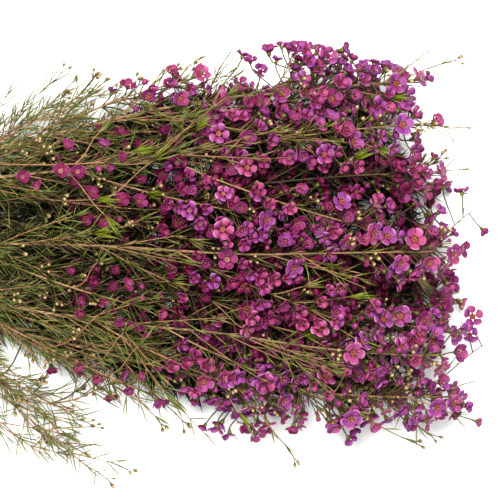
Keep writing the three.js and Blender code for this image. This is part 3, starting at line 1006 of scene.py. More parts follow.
    @staticmethod
    def _facing(heading: Vec, at: Vec) -> Vec:
        """The way a flower faces: on along its stalk, out of the head, and up to the light.

        Args:
            heading: the direction of its stalk.
            at: where it stands.

        Returns:
            The direction.
        """
        wanted = unit(heading + HEAD.outward(at) * FLOWER.face_out + UP * FLOWER.face_up)
        while wanted @ heading < FLOWER.least_facing:
            wanted = unit(wanted + (heading - wanted) * 0.25)
        return wanted

    @staticmethod
    def bloom_rods(head: Frame, is_open: bool) -> list[Rod]:
        """The rods that stand for a flower's calyx and its petals.

        Args:
            head: the flower's frame.
            is_open: whether it is open, or still a cup.

        Returns:
            The rods.
        """
        middle = head.at + head.axis * FLOWER.calyx
        calyx = Rod(head.at, middle, FLOWER.calyx_radius)
        if not is_open:
            return [calyx, Rod(middle, middle + head.axis * FLOWER.cup_rise, FLOWER.cup_rod)]
        reach = FLOWER.petal - FLOWER.petal_inset
        tips = [middle + head.leaning(90, turn) * reach for turn in even_angles(5)]
        rise = head.axis * FLOWER.rise
        return [calyx] + [Rod(middle, tip + rise, FLOWER.petal_rod) for tip in tips]

    def _plan_flower(self, spray: Shoot, ring: int, side: int | None) -> Bloom | None:
        """A flower from one side of a spray, or on from its end.

        Args:
            spray: the spray's axis.
            ring: the ring that it grows at.
            side: the side, or None at the end.

        Returns:
            The flower, or None if there is no room for it.
        """
        draw, here = self.draw, spray.frames[ring]
        is_open = draw.part() < FLOWER.open_share

        def plan() -> tuple:
            """One try at the flower."""
            if side is None:
                azimuth, lean = draw.azimuth(), draw.between(0, FLOWER.end_lean)
            else:
                azimuth = spray.azimuth(side) + math.radians(draw.around(0, FLOWER.turn))
                lean = draw.around(FLOWER.lean, FLOWER.lean_spread)
            heading = here.leaning(lean, azimuth)
            at = here.at + heading * (FLOWER.stalk * draw.between(*FLOWER.stretch) + spray.radii[ring])
            head = self.stalk_frame(at, self._facing(heading, at), heading, here)
            rods = self._stalk_rods(here, heading, spray.radii[ring], at, FLOWER.stalk_radius)
            bloom = Bloom(head, is_open, here.at, heading)
            return bloom, rods[0], [rods[1]] + self.bloom_rods(head, is_open)

        return self._settle(FLOWER.tries, spray, plan)

    def _plan_bud(self, spray: Shoot, ring: int, side: int) -> Young | None:
        """A closed bud on its stalk.

        Args:
            spray: the spray's axis.
            ring: the ring that it grows at.
            side: the side that it grows from.

        Returns:
            The bud, or None if there is no room for it.
        """
        draw, here = self.draw, spray.frames[ring]

        def plan() -> tuple:
            """One try at the bud."""
            lean = draw.around(BUD.lean, BUD.lean_spread)
            heading = here.leaning(lean, spray.azimuth(side) + math.radians(draw.around(0, BUD.turn)))
            at = here.at + heading * (BUD.stalk + spray.radii[ring])
            rods = self._stalk_rods(here, heading, spray.radii[ring], at, BUD.stalk_radius)
            young = Young(self.stalk_frame(at, heading, heading, here), here.at)
            return young, rods[0], [rods[1], Rod(at, at + heading * BUD.length, BUD.radius)]

        return self._settle(BUD.tries, spray, plan)

    def _plan_leaf(self, shoot: Shoot, ring: int, side: int) -> Leaf | None:
        """A needle leaf.

        Args:
            shoot: what bears it.
            ring: the ring that it grows at.
            side: the side that it grows from.

        Returns:
            The leaf, or None if there is no room for it.
        """
        draw, here = self.draw, shoot.frames[ring]
        length = draw.between(NEEDLE.shortest, NEEDLE.longest)

        def plan() -> tuple:
            """One try at the leaf."""
            azimuth = shoot.azimuth(side) + math.radians(draw.around(0, NEEDLE.turn))
            heading = here.leaning(draw.around(NEEDLE.lean, NEEDLE.lean_spread), azimuth)
            tip = here.at + heading * length
            rods = self._stalk_rods(here, heading, shoot.radii[ring], tip, NEEDLE.radius)
            return Leaf(here.at, tip), rods[0], rods[1:]

        return self._settle(NEEDLE.tries, shoot, plan)

    def _add_flower(self, k: int, ring: int, side: int | None) -> None:
        """Adds one flower to a spray, if there is room.

        Args:
            k: the spray, counted from 0.
            ring: the ring that it grows at.
            side: the side, or None at the end.
        """
        bloom = self._plan_flower(self.sprays[k], ring, side)
        if bloom is not None:
            self.spray_nodes[k].blooms.append(bloom)
            self.sprays[k].taken.add((ring, side))

    def _add_flowers(self) -> None:
        """Gives every spray its flowers, from the tips back."""
        last = len(SPRAY.steps) - 1
        for k in range(len(self.sprays)):
            self._add_flower(k, last, None)
        for k in range(len(self.sprays)):
            for ring in range(last - 1, 0, -1):
                self._add_flower(k, ring, (ring + k) % 3)
        for k in range(len(self.sprays)):
            for ring in range(last - 1, 0, -1):
                if self.draw.part() < FLOWER.second_share:
                    self._add_flower(k, ring, (ring + k + 1) % 3)

    def _add_buds(self) -> None:
        """Gives every spray some buds."""
        for spray, node in zip(self.sprays, self.spray_nodes):
            for ring, side in spray.free_sites(1):
                bud = self._plan_bud(spray, ring, side) if self.draw.part() < BUD.share else None
                if bud is not None:
                    node.buds.append(bud)
                    spray.taken.add((ring, side))

    def _add_leaves(self) -> None:
        """Gives the stems, their twigs and the sprays their needles."""
        for k, stem in enumerate(self.stems):
            node = self.grown[name_of("stem", k)]
            for shoot in stem.side_shoots:
                self._leaf_out(node, shoot, NEEDLE.on_twig, 1)
            self._leaf_out(node, stem.axis, NEEDLE.on_stem, stem.axis.ring_at(NEEDLE.stem_from))
        for spray, node in zip(self.sprays, self.spray_nodes):
            self._leaf_out(node, spray, NEEDLE.on_spray, 0)

    def _leaf_out(self, node: Grown, shoot: Shoot, share: float, first_ring: int) -> None:
        """Grows needles on a shoot.

        Args:
            node: what they are part of.
            shoot: the shoot.
            share: the share of its free sites that bear one.
            first_ring: the ring that they start from.
        """
        for ring, side in shoot.free_sites(first_ring):
            if self.draw.part() > share:
                continue
            leaf = self._plan_leaf(shoot, ring, side)
            if leaf is not None:
                node.leaves.append(leaf)
                shoot.taken.add((ring, side))


# ---- dressing: finishes


class Surface(Enum):
    """What a face of a piece is made of."""

    BARK = 0
    TWIG = 1
    LEAF = 2
    CALYX = 3
    PETAL = 4
    HEART = 5
    DISC = 6
    STAMEN = 7
    GLOBE = 8
    CREAM = 9
    LATEX = 10
    STALK = 11
    SHADE_FILL = 12


def srgb(code: str) -> tuple[float, float, float, float]:
    """Turns an sRGB hex colour to linear.

    Args:
        code: the colour, such as "#a8327e".

    Returns:
        Red, green, blue and alpha.
    """
    parts = [int(code[k : k + 2], 16) / 255 for k in (1, 3, 5)]
    red, green, blue = [p / 12.92 if p <= 0.04045 else ((p + 0.055) / 1.055) ** 2.4 for p in parts]
    return red, green, blue, 1.0


def add_node(
    tree: bpy.types.NodeTree, kind: str, inputs: dict | None = None, **settings: object
) -> bpy.types.Node:
    """Adds a node with its settings and its links.

    Args:
        tree: the material's or world's node tree.
        kind: the node's type.
        inputs: what each input socket holds: a value, or the socket that feeds it.
        settings: properties of the node.

    Returns:
        The node.
    """
    node = tree.nodes.new(kind)
    for name, value in settings.items():
        setattr(node, name, value)
    for key, value in (inputs or {}).items():
        if isinstance(value, bpy.types.NodeSocket):
            tree.links.new(value, node.inputs[key])
        else:
            node.inputs[key].default_value = value
    return node


class Palette:
    """A new material's node tree with the nodes that most finishes of the plant share."""

    def __init__(self, name: str) -> None:
        """Makes an empty material."""
        self.material = bpy.data.materials.new(name)
        self.material.use_nodes = True
        self.tree = self.material.node_tree
        self.tree.nodes.clear()
        self.place = add_node(self.tree, "ShaderNodeTexCoord").outputs["Object"]

    def attribute(self, name: str) -> bpy.types.NodeSocket:
        """The number that each point carries under a name."""
        return add_node(self.tree, "ShaderNodeAttribute", attribute_name=name).outputs["Fac"]

    def noise(self, size_mm: float, detail: float = 2) -> bpy.types.NodeSocket:
        """Even mottling from 0 to 1, whose patches have a size in millimetres."""
        inputs = {"Vector": self.place, "Scale": 1 / (size_mm * MM), "Detail": detail}
        return add_node(self.tree, "ShaderNodeTexNoise", inputs).outputs["Fac"]

    def ramp(self, value: bpy.types.NodeSocket, low: float, high: float) -> bpy.types.NodeSocket:
        """A number brought from a range to 0 to 1, with soft ends."""
        inputs = {"Value": value, "From Min": low, "From Max": high}
        settings = {"interpolation_type": "SMOOTHSTEP"}
        return add_node(self.tree, "ShaderNodeMapRange", inputs, **settings).outputs["Result"]

    def mix(self, factor: object, *colours: object) -> bpy.types.NodeSocket:
        """A colour between two, each of them a socket or an sRGB hex colour."""
        one, other = (srgb(colour) if isinstance(colour, str) else colour for colour in colours)
        inputs = {0: factor, 6: one, 7: other}
        return add_node(self.tree, "ShaderNodeMix", inputs, data_type="RGBA").outputs[2]

    def along_bunch(self, low_mm: float, high_mm: float) -> bpy.types.NodeSocket:
        """0 to 1 between two places along the bunch."""
        split = add_node(self.tree, "ShaderNodeSeparateXYZ", {"Vector": self.place})
        return self.ramp(split.outputs["X"], low_mm * MM, high_mm * MM)

    def finish(
        self, colour: object, height: object, height_mm: float, **shader: object
    ) -> bpy.types.Material:
        """Ends the material in a principled shader.

        Args:
            colour: the base colour.
            height: the relief from 0 to 1.
            height_mm: how high the relief is, in millimetres.
            shader: further sockets of the shader, with spaces as underscores.

        Returns:
            The material.
        """
        relief = {"Height": height, "Distance": height_mm * MM, "Strength": 1.0}
        normal = add_node(self.tree, "ShaderNodeBump", relief).outputs["Normal"]
        inputs = {key.replace("_", " "): value for key, value in shader.items()}
        inputs |= {"Base Color": colour, "Normal": normal}
        body = add_node(self.tree, "ShaderNodeBsdfPrincipled", inputs)
        add_node(self.tree, "ShaderNodeOutputMaterial", {"Surface": body.outputs["BSDF"]})
        return self.material


@dataclass(frozen=True)
class PetalFinish:
    """Living petal under a cuticle of wax with a soft sheen and a darker claw. Painted light and shade:
    petals far inside the bunch are painted dark crimson as shade, those at the skin rose or violet as if
    lit, and each rim is painted pale as if lit through.
    """

    name: str = "waxy_petal"
    painted_shade: str = "#340412"
    crimson: str = "#681844"
    rose: str = "#96446a"
    violet: str = "#7c3c78"
    rim: str = "#bc8cac"
    claw: str = "#6c1c40"
    roughness: float = 0.55
    mottle_mm: float = 1.6
    branch_mm: float = 24

    def build(self) -> bpy.types.Material:
        """Makes the material."""
        new = Palette(self.name)
        along = new.attribute("along")
        tone = new.mix(new.ramp(new.noise(self.branch_mm), 0.42, 0.58), self.rose, self.violet)
        # painted light: toward its tip each petal is mixed to a pale rim colour, as if lit through
        lit = new.mix(new.ramp(along, 0.7, 1.05), tone, self.rim)
        tint = new.attribute("tint")
        # painted shade: a low tint takes the petal from the lit colour down through crimson to the darkest
        # shade colour
        shaded = new.mix(new.ramp(tint, 0.0, 0.5), self.painted_shade, self.crimson)
        tissue = new.mix(new.ramp(tint, 0.35, 0.95), shaded, lit)
        mottled = new.mix(new.ramp(new.noise(self.mottle_mm), 0.45, 1.1), tissue, self.crimson)
        colour = new.mix(new.ramp(along, 0.5, 0.22), mottled, self.claw)
        shader = {"Roughness": self.roughness, "Specular_IOR_Level": 0.25, "IOR": 1.45}
        glow = {"Subsurface_Weight": 0.12, "Subsurface_Scale": 0.001, "Subsurface_Radius": (1.0, 0.3, 0.7)}
        return new.finish(colour, new.noise(0.7), 0.04, **shader, **glow)


@dataclass(frozen=True)
class TissueFinish:
    """A small plant part: two tones set by its tint, which is mostly painted shade (the first tone far
    inside the bunch, the second where lit at its skin), mottled together, an end of its own colour, and
    fine relief.
    """

    name: str
    one: str
    other: str
    end: str
    end_from: float = 0.75
    roughness: float = 0.5
    mottle_mm: float = 1.2
    relief_mm: float = 0.05
    grain_mm: float = 0.5

    def build(self) -> bpy.types.Material:
        """Makes the material."""
        new = Palette(self.name)
        # painted shade: the tint takes the part from the dark shade tone to the lit tone
        body = new.mix(new.attribute("tint"), self.one, self.other)
        patch = new.ramp(new.noise(self.mottle_mm), 0.4, 0.75)
        mottled = new.mix(patch, body, self.other)
        colour = new.mix(new.ramp(new.attribute("along"), self.end_from, 1.0), mottled, self.end)
        shader = {"Roughness": self.roughness, "Specular_IOR_Level": 0.35, "IOR": 1.45}
        return new.finish(colour, new.noise(self.grain_mm, 1), self.relief_mm, **shader)


@dataclass(frozen=True)
class CalyxFinish:
    """A waxflower's calyx tube: thick green skin with raised oil glands that catch the light. The skin is
    painted dark green as shade far inside the bunch and lighter where lit at its skin.
    """

    name: str = "glandular_calyx"
    green: str = "#30320c"
    calyx_lit: str = "#605a26"
    gland: str = "#7e783e"
    gland_mm: float = 0.55

    def build(self) -> bpy.types.Material:
        """Makes the material."""
        new = Palette(self.name)
        cells = {"Vector": new.place, "Scale": 1 / (self.gland_mm * MM)}
        gland = add_node(new.tree, "ShaderNodeTexVoronoi", cells).outputs["Distance"]
        dot = new.ramp(gland, 0.42, 0.12)
        # painted shade: the tint takes the skin from dark green far inside the bunch to its lit colour
        skin = new.mix(new.attribute("tint"), self.green, self.calyx_lit)
        return new.finish(new.mix(dot, skin, self.gland), dot, 0.06, Roughness=0.45, IOR=1.45)


@dataclass(frozen=True)
class LeafFinish:
    """Needle leaf with a tough shiny skin, olive on old wood and lime among the flowers; painted near-black
    as shade far inside the bunch and pale where lit at its skin.
    """

    name: str = "needle_leaf"
    old: str = "#0e1603"
    old_lit: str = "#767e3c"
    young: str = "#1c2604"
    young_lit: str = "#7a7e34"
    lush: str = "#6c761e"
    dry: str = "#84744a"
    tip: str = "#8b7a3f"

    def build(self) -> bpy.types.Material:
        """Makes the material."""
        new = Palette(self.name)
        tint = new.attribute("tint")
        # painted shade: the tint takes each blade from a near-black shade colour to a lit pale one
        old = new.mix(tint, self.old, self.old_lit)
        young = new.mix(tint, self.young, self.young_lit)
        blade = new.mix(new.along_bunch(190, 330), old, young)
        blade = new.mix(new.ramp(new.noise(9), 0.54, 0.66), blade, self.dry)
        blade = new.mix(new.ramp(tint, 0.94, 0.99), blade, self.lush)
        colour = new.mix(new.ramp(new.attribute("along"), 0.9, 1.0), blade, self.tip)
        return new.finish(colour, new.noise(0.6, 1), 0.03, Roughness=0.38, IOR=1.45)


@dataclass(frozen=True)
class BarkFinish:
    """Bark that cracks lengthways: the pale flakes stand up and the cracks between them are dark. Far
    inside the bunch it is painted near-black as shade.
    """

    name: str
    crack: str
    flake: str
    young: str
    fissure_mm: float
    relief_mm: float
    painted_shade: str = "#140c06"

    def build(self) -> bpy.types.Material:
        """Makes the material."""
        new = Palette(self.name)
        stretch = (1 / (self.fissure_mm * 9 * MM), 1 / (self.fissure_mm * MM), 1 / (self.fissure_mm * MM))
        drawn_out = add_node(new.tree, "ShaderNodeMapping", {"Vector": new.place, "Scale": stretch})
        inputs = {"Vector": drawn_out.outputs["Vector"], "Scale": 1.0, "Detail": 4.0}
        fissures = add_node(new.tree, "ShaderNodeTexNoise", inputs).outputs["Fac"]
        flakes = new.ramp(fissures, 0.38, 0.62)
        bark = new.mix(flakes, self.crack, self.flake)
        half_grown = new.mix(0.65, bark, self.young)
        grown = new.mix(new.along_bunch(180, 380), bark, half_grown)
        # painted shade: a low tint, far inside the bunch, darkens the bark toward a near-black shade colour
        colour = new.mix(new.ramp(new.attribute("tint"), -0.3, 0.7), self.painted_shade, grown)
        return new.finish(colour, flakes, self.relief_mm, Roughness=0.7, IOR=1.5)


@dataclass(frozen=True)
class LatexFinish:
    """Extruded natural rubber: tan, soft, a little translucent, with a dull bloom on its skin."""

    name: str = "natural_rubber"
    skin: str = "#c39a63"
    bloom: str = "#d8bd92"

    def build(self) -> bpy.types.Material:
        """Makes the material."""
        new = Palette(self.name)
        bloom = new.noise(2.5, 3)
        colour = new.mix(new.ramp(bloom, 0.45, 0.7), self.skin, self.bloom)
        return new.finish(colour, new.noise(0.8, 2), 0.05, Roughness=0.6, IOR=1.52)


FINISHES: dict[Surface, object] = {
    Surface.BARK: BarkFinish("cracked_bark", "#4e3624", "#a8865f", "#54482a", 0.8, 0.12),
    Surface.TWIG: BarkFinish("young_bark", "#6a462e", "#ac8460", "#6a5c34", 0.4, 0.05),
    Surface.LEAF: LeafFinish(),
    Surface.CALYX: CalyxFinish(),
    Surface.PETAL: PetalFinish(),
    Surface.HEART: TissueFinish("plum_heart", "#38081e", "#641636", "#8a2c5a"),
    Surface.DISC: TissueFinish("nectar_disc", "#501a2a", "#7a4230", "#641c38", 0.2, 0.35, 0.6, 0.06, 0.3),
    Surface.STAMEN: TissueFinish("stamen", "#8c3458", "#b47c88", "#c49c88", 0.3),
    Surface.GLOBE: TissueFinish("closed_petals", "#460a20", "#803060", "#925078", 0.93, 0.4, 2.0),
    Surface.CREAM: TissueFinish("young_bud", "#6a5c34", "#b09672", "#96705c", 0.72, 0.45),
    Surface.LATEX: LatexFinish(),
    Surface.STALK: TissueFinish("flower_stalk", "#1c0e0a", "#54462a", "#54401e", 0.95, 0.6),
    # painted shade: near-black needles that stand in for shade low in the bunch
    Surface.SHADE_FILL: TissueFinish("painted_shade_needle", "#18120c", "#342c18", "#22180f", 0.8, 0.95),
}
MADE_FINISHES: dict[Surface, bpy.types.Material] = {}


def finish_of(surface: Surface) -> bpy.types.Material:
    """The material of a surface, made when it is first asked for."""
    if surface not in MADE_FINISHES:
        MADE_FINISHES[surface] = FINISHES[surface].build()
    return MADE_FINISHES[surface]


# ---- dressing: shapes


def column(rows: bpy.types.bpy_prop_collection, name: str, kind: type = np.int64, width: int = 1) -> Vec:
    """One property of every row of a mesh, as one array.

    Args:
        rows: the mesh's vertices, loops or polygons.
        name: the property.
        kind: the kind of number that it holds.
        width: how many numbers each row has.

    Returns:
        The numbers, row after row.
    """
    values = np.empty(len(rows) * width, kind)
    rows.foreach_get(name, values)
    return values


Copy = tuple[Vec, Vec, float]  # a copy's matrix, its place in millimetres, and its tint from 0 to 1


@dataclass
class Faces:
    """A shape as arrays: points in metres, polygons, and what each of them carries."""

    points: Vec
    corners: Vec
    sizes: Vec
    surfaces: Vec
    along: Vec
    tint: Vec | None = None

    @staticmethod
    def read(obj: bpy.types.Object, along: Callable[[Vec], Vec]) -> "Faces":
        """Reads a modelled object's mesh, and removes the object.

        Args:
            obj: the object, unscaled and unturned.
            along: gives each point, in metres, its place from root 0 to tip 1.

        Returns:
            The shape.
        """
        mesh = obj.data
        points = column(mesh.vertices, "co", float, 3).reshape(-1, 3) + np.array(obj.location)
        corners = column(mesh.loops, "vertex_index")
        sizes, surfaces = (column(mesh.polygons, name) for name in ("loop_total", "material_index"))
        bpy.data.objects.remove(obj)
        bpy.data.meshes.remove(mesh)
        return Faces(points, corners, sizes, surfaces, np.clip(along(points), 0, 1))

    @staticmethod
    def joined(parts: list["Faces"]) -> "Faces":
        """Several shapes as one.

        Args:
            parts: the shapes, which all have tints or all have none.

        Returns:
            The whole.
        """
        firsts = np.cumsum([0] + [len(part.points) for part in parts])[:-1]
        corners = np.concatenate([part.corners + first for part, first in zip(parts, firsts)])
        points, sizes, surfaces, along = (
            np.concatenate([getattr(part, name) for part in parts])
            for name in ("points", "sizes", "surfaces", "along")
        )
        tint = np.concatenate([part.tint for part in parts]) if parts[0].tint is not None else None
        return Faces(points, corners, sizes, surfaces, along, tint)

    def copies(self, placed: list[Copy]) -> "Faces":
        """Copies of the shape.

        Args:
            placed: where each copy goes.

        Returns:
            All the copies as one shape.
        """
        turns = np.array([matrix for matrix, _, _ in placed])
        places = np.array([place for _, place, _ in placed]) * MM
        tints = np.array([tint for _, _, tint in placed])
        n, count = len(placed), len(self.points)
        points = np.einsum("nij,pj->npi", turns, self.points) + places[:, None, :]
        corners = self.corners[None, :] + (np.arange(n) * count)[:, None]
        return Faces(
            points.reshape(-1, 3),
            corners.ravel(),
            np.tile(self.sizes, n),
            np.tile(self.surfaces, n),
            np.tile(self.along, n),
            np.repeat(tints, count),
        )


class Gathering:
    """Shapes that are gathered to be one piece."""

    def __init__(self, name: str) -> None:
        """Starts with nothing gathered."""
        self.name = name
        self.parts: list[Faces] = []

    def add(self, shape: Faces) -> None:
        """Gathers a shape."""
        if shape.tint is None:
            shape.tint = np.full(len(shape.points), 0.5)
        self.parts.append(shape)

    def copy_in(self, shape: Faces, placed: list[Copy]) -> None:
        """Gathers copies of a shape, if there are any."""
        if placed:
            self.add(shape.copies(placed))

    def make(self, slot: str, *nodes: str) -> bpy.types.Object:
        """Makes the piece, which stands for some solids.

        Args:
            slot: a material slot of the record, which is not used.
            nodes: the solids that it replaces.

        Returns:
            The object.
        """
        whole = Faces.joined(self.parts)
        whole.points[:, 2] = np.maximum(whole.points[:, 2], 0)
        mesh = bpy.data.meshes.new(self.name)
        mesh.vertices.add(len(whole.points))
        mesh.vertices.foreach_set("co", whole.points.ravel())
        mesh.loops.add(len(whole.corners))
        mesh.loops.foreach_set("vertex_index", whole.corners)
        mesh.polygons.add(len(whole.sizes))
        mesh.polygons.foreach_set("loop_start", np.cumsum(whole.sizes) - whole.sizes)
        mesh.update(calc_edges=True)
        used = sorted(set(whole.surfaces.tolist()))
        mesh.polygons.foreach_set("material_index", np.searchsorted(used, whole.surfaces))
        mesh.polygons.foreach_set("use_smooth", np.ones(len(whole.sizes), bool))
        for surface in used:
            mesh.materials.append(finish_of(Surface(surface)))
        for name, values in (("along", whole.along), ("tint", whole.tint)):
            mesh.attributes.new(name, "FLOAT", "POINT").data.foreach_set("value", values)
        mesh.validate()
        obj = bpy.data.objects.new(self.name, mesh)
        bpy.context.collection.objects.link(obj)
        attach(obj, "root")
        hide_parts(*nodes)
        return obj


def deselect() -> None:
    """Leaves nothing selected, so that the next operator acts on new work alone."""
    if bpy.context.object is not None and bpy.context.object.mode != "OBJECT":
        bpy.ops.object.mode_set(mode="OBJECT")
    bpy.ops.object.select_all(action="DESELECT")


def narrow(test: Callable[[Vec], bool]) -> None:
    """Keeps selected, of the points that are selected in edit mode, those that pass a test.

    Args:
        test: takes a point's place in millimetres.
    """
    shape = bmesh.from_edit_mesh(bpy.context.object.data)
    for vertex in shape.verts:
        if vertex.select and not test(np.array(vertex.co) / MM):
            vertex.select = False
    shape.select_flush_mode()
    bmesh.update_edit_mesh(bpy.context.object.data)


def paint(surface: Surface) -> None:
    """Gives the faces that are selected in edit mode a surface.

    Args:
        surface: what they are made of.
    """
    shape = bmesh.from_edit_mesh(bpy.context.object.data)
    for face in shape.faces:
        if face.select:
            face.material_index = surface.value
    bmesh.update_edit_mesh(bpy.context.object.data)


def add_cone(sides: int, foot: float, top: float, height: float, x: float = 0, z: float = 0) -> None:
    """Adds an upright cone or tube.

    Args:
        sides: how many sides it has.
        foot: its radius at the foot, in millimetres as all sizes here.
        top: its radius at the top.
        height: its height.
        x: how far its foot is from the origin along X.
        z: how high its foot is.
    """
    bpy.ops.mesh.primitive_cone_add(
        vertices=sides,
        radius1=foot * MM,
        radius2=top * MM,
        depth=height * MM,
        location=(x * MM, 0, (z + height / 2) * MM),
    )


def start_calyx(
    sides: int, foot: float, top: float, height: float, cut: float, swell: float
) -> bpy.types.Object:
    """Starts a flower or bud with its calyx, and leaves it in edit mode.

    Args:
        sides: how many sides the tube has.
        foot: its radius at the foot, on the origin.
        top: its radius at the top.
        height: its height.
        cut: how high the ring is that it is cut in.
        swell: how much that ring is wider than the plain tube.

    Returns:
        The object.
    """
    add_cone(sides, foot, top, height)
    calyx = bpy.context.object
    bpy.ops.object.transform_apply(location=True, rotation=False, scale=False)
    bpy.ops.object.mode_set(mode="EDIT")
    paint(Surface.CALYX)
    bpy.ops.mesh.select_all(action="SELECT")
    bpy.ops.mesh.bisect(plane_co=(0, 0, cut * MM), plane_no=(0, 0, 1))
    bpy.ops.transform.resize(value=(swell, swell, 1))
    return calyx


def add_disc(sides: int, radius: float, z: float = 0) -> None:
    """Adds a flat disc, with its sides, its radius and its height above the origin in millimetres."""
    bpy.ops.mesh.primitive_circle_add(
        vertices=sides, radius=radius * MM, fill_type="NGON", location=(0, 0, z * MM)
    )


def set_down(part: Callable[[], None]) -> None:
    """Models one more part in edit mode, with nothing else selected while it is worked on."""
    bpy.ops.mesh.select_all(action="DESELECT")
    part()
    bpy.ops.mesh.select_all(action="DESELECT")


@dataclass
class Blossom:
    """A waxflower: five round petals on a calyx, with a nectar disc and five or ten stamens.

    It stands on the origin and faces up. Sizes are in millimetres, angles in degrees. A fine one has
    rounder petals, a rim round its disc, and a style.
    """

    opening: float = 8
    petal_width: float = 6.4
    petal_from: float = 1.9
    petal_to: float = 7.8
    petal_cup: float = 0.5
    petal_thick: float = 0.24
    disc_radius: float = 2.15
    calyx_height: float = 3.8
    calyx_top: float = 2.0
    calyx_foot: float = 0.55
    calyx_cut: float = 2.2
    calyx_swell: float = 1.22
    stamens: int = 10
    sides: int = 10
    is_fine: bool = True
    tilts: tuple[float, ...] = (0, 9, -6, 5, -8)
    swings: tuple[float, ...] = (0, 5, -4, 6, -3)
    surface: Surface = Surface.PETAL
    disc: Surface = Surface.DISC

    @property
    def half(self) -> float:
        """Half the length of a petal."""
        return (self.petal_to - self.petal_from) / 2

    def model(self) -> Faces:
        """Models the flower.

        Returns:
            The shape.
        """
        deselect()
        petals = self._petals()
        deselect()
        tube = (10 if self.is_fine else 6, self.calyx_foot, self.calyx_top, self.calyx_height)
        flower = start_calyx(*tube, self.calyx_cut, self.calyx_swell)
        set_down(self._disc)
        for k in range(self.stamens):
            set_down(lambda: self._stamen(k))
        if self.is_fine:
            set_down(self._style)
        bpy.ops.object.mode_set(mode="OBJECT")
        reach = self.petal_to * MM

        def outward(points: Vec) -> Vec:
            """How far out points are, from 0 in the middle to 1 at the ends of the petals."""
            return np.hypot(points[:, 0], points[:, 1]) / reach

        return Faces.joined([Faces.read(petals, outward), Faces.read(flower, outward)])

    def _petals(self) -> bpy.types.Object:
        """Five petals, each tilted and turned a little in its own way, and thickened together.

        Returns:
            The object.
        """
        add_disc(self.sides, self.half)
        petals = bpy.context.object
        bpy.ops.object.mode_set(mode="EDIT")
        for k, (tilt, swing) in enumerate(zip(self.tilts, self.swings)):
            if k:
                bpy.ops.mesh.select_all(action="DESELECT")
                add_disc(self.sides, self.half)
            self._shape_petal()
            hinge = (self.petal_from * MM, 0, 0)
            angle = math.radians(self.opening + tilt)
            bpy.ops.transform.rotate(value=angle, orient_axis="Y", center_override=hinge)
            bpy.ops.transform.translate(value=(0, 0, (self.calyx_height + 0.1) * MM))
            turn = math.radians(72 * k + swing)
            bpy.ops.transform.rotate(value=turn, orient_axis="Z", center_override=(0, 0, 0))
            paint(self.surface)
        bpy.ops.object.mode_set(mode="OBJECT")
        shell = petals.modifiers.new("tissue", "SOLIDIFY")
        shell.thickness = self.petal_thick * MM
        shell.offset = 0
        bpy.ops.object.modifier_apply(modifier="tissue")
        return petals

    def _shape_petal(self) -> None:
        """Shapes the selected disc as a petal along +X: round and cupped, and narrow at its claw."""
        middle, half = self.petal_from + self.half, self.half
        bpy.ops.transform.resize(value=(1, self.petal_width / (2 * half), 1))
        bpy.ops.transform.translate(value=(middle * MM, 0, 0))
        if self.is_fine:
            bpy.ops.mesh.inset(thickness=half * 0.42 * MM, depth=0)
            bpy.ops.transform.translate(value=(0, 0, -self.petal_cup * 0.7 * MM))
        bpy.ops.mesh.poke(offset=0)
        for is_part, width, shift in (
            (lambda p: p[0] < middle - half * 0.6, 0.5, (0, 0, 0)),
            (lambda p: math.hypot(p[0] - middle, p[1]) < half * 0.2, 1, (0, 0, -0.3 * self.petal_cup)),
            (lambda p: p[0] > middle + half * 0.9, 1, (-0.25, 0, 0.25)),
        ):
            bpy.ops.mesh.select_linked()
            narrow(is_part)
            bpy.ops.transform.resize(value=(1, width, 1), center_override=(0, 0, 0))
            bpy.ops.transform.translate(value=tuple(x * MM for x in shift))
        bpy.ops.mesh.select_linked()

    def _disc(self) -> None:
        """The nectar disc in the mouth of the calyx: a circle that is inset and pushed in as a bowl."""
        add_disc(self.sides, self.disc_radius, self.calyx_height + 0.16)
        paint(self.disc)
        if self.is_fine:
            bpy.ops.mesh.inset(thickness=0.5 * MM, depth=0)
            bpy.ops.transform.translate(value=(0, 0, 0.2 * MM))
        bpy.ops.mesh.inset(thickness=0.8 * MM, depth=0)
        bpy.ops.transform.translate(value=(0, 0, (-0.3 if self.is_fine else -0.12) * MM))

    def _stamen(self, k: int) -> None:
        """One stamen: a slim filament that leans out, every other one longer.

        Args:
            k: which one it is, round the disc.
        """
        azimuth = 2 * math.pi * k / self.stamens
        lean = math.radians(max(8, 38 - self.opening * 0.4) if k % 2 else max(5, 24 - self.opening * 0.3))
        length = 2.6 if k % 2 else 2.1
        root = (self.disc_radius * 0.86, self.calyx_height + 0.2)
        add_cone(3, 0.3, 0.17, length, *root)
        pivot = (root[0] * MM, 0, root[1] * MM)
        bpy.ops.transform.rotate(value=-lean, orient_axis="Y", center_override=pivot)
        bpy.ops.transform.rotate(value=azimuth, orient_axis="Z", center_override=(0, 0, 0))
        paint(Surface.STAMEN)

    def _style(self) -> None:
        """The style in the middle of the disc."""
        add_cone(4, 0.3, 0.22, 3.0, z=self.calyx_height)
        paint(Surface.STAMEN)


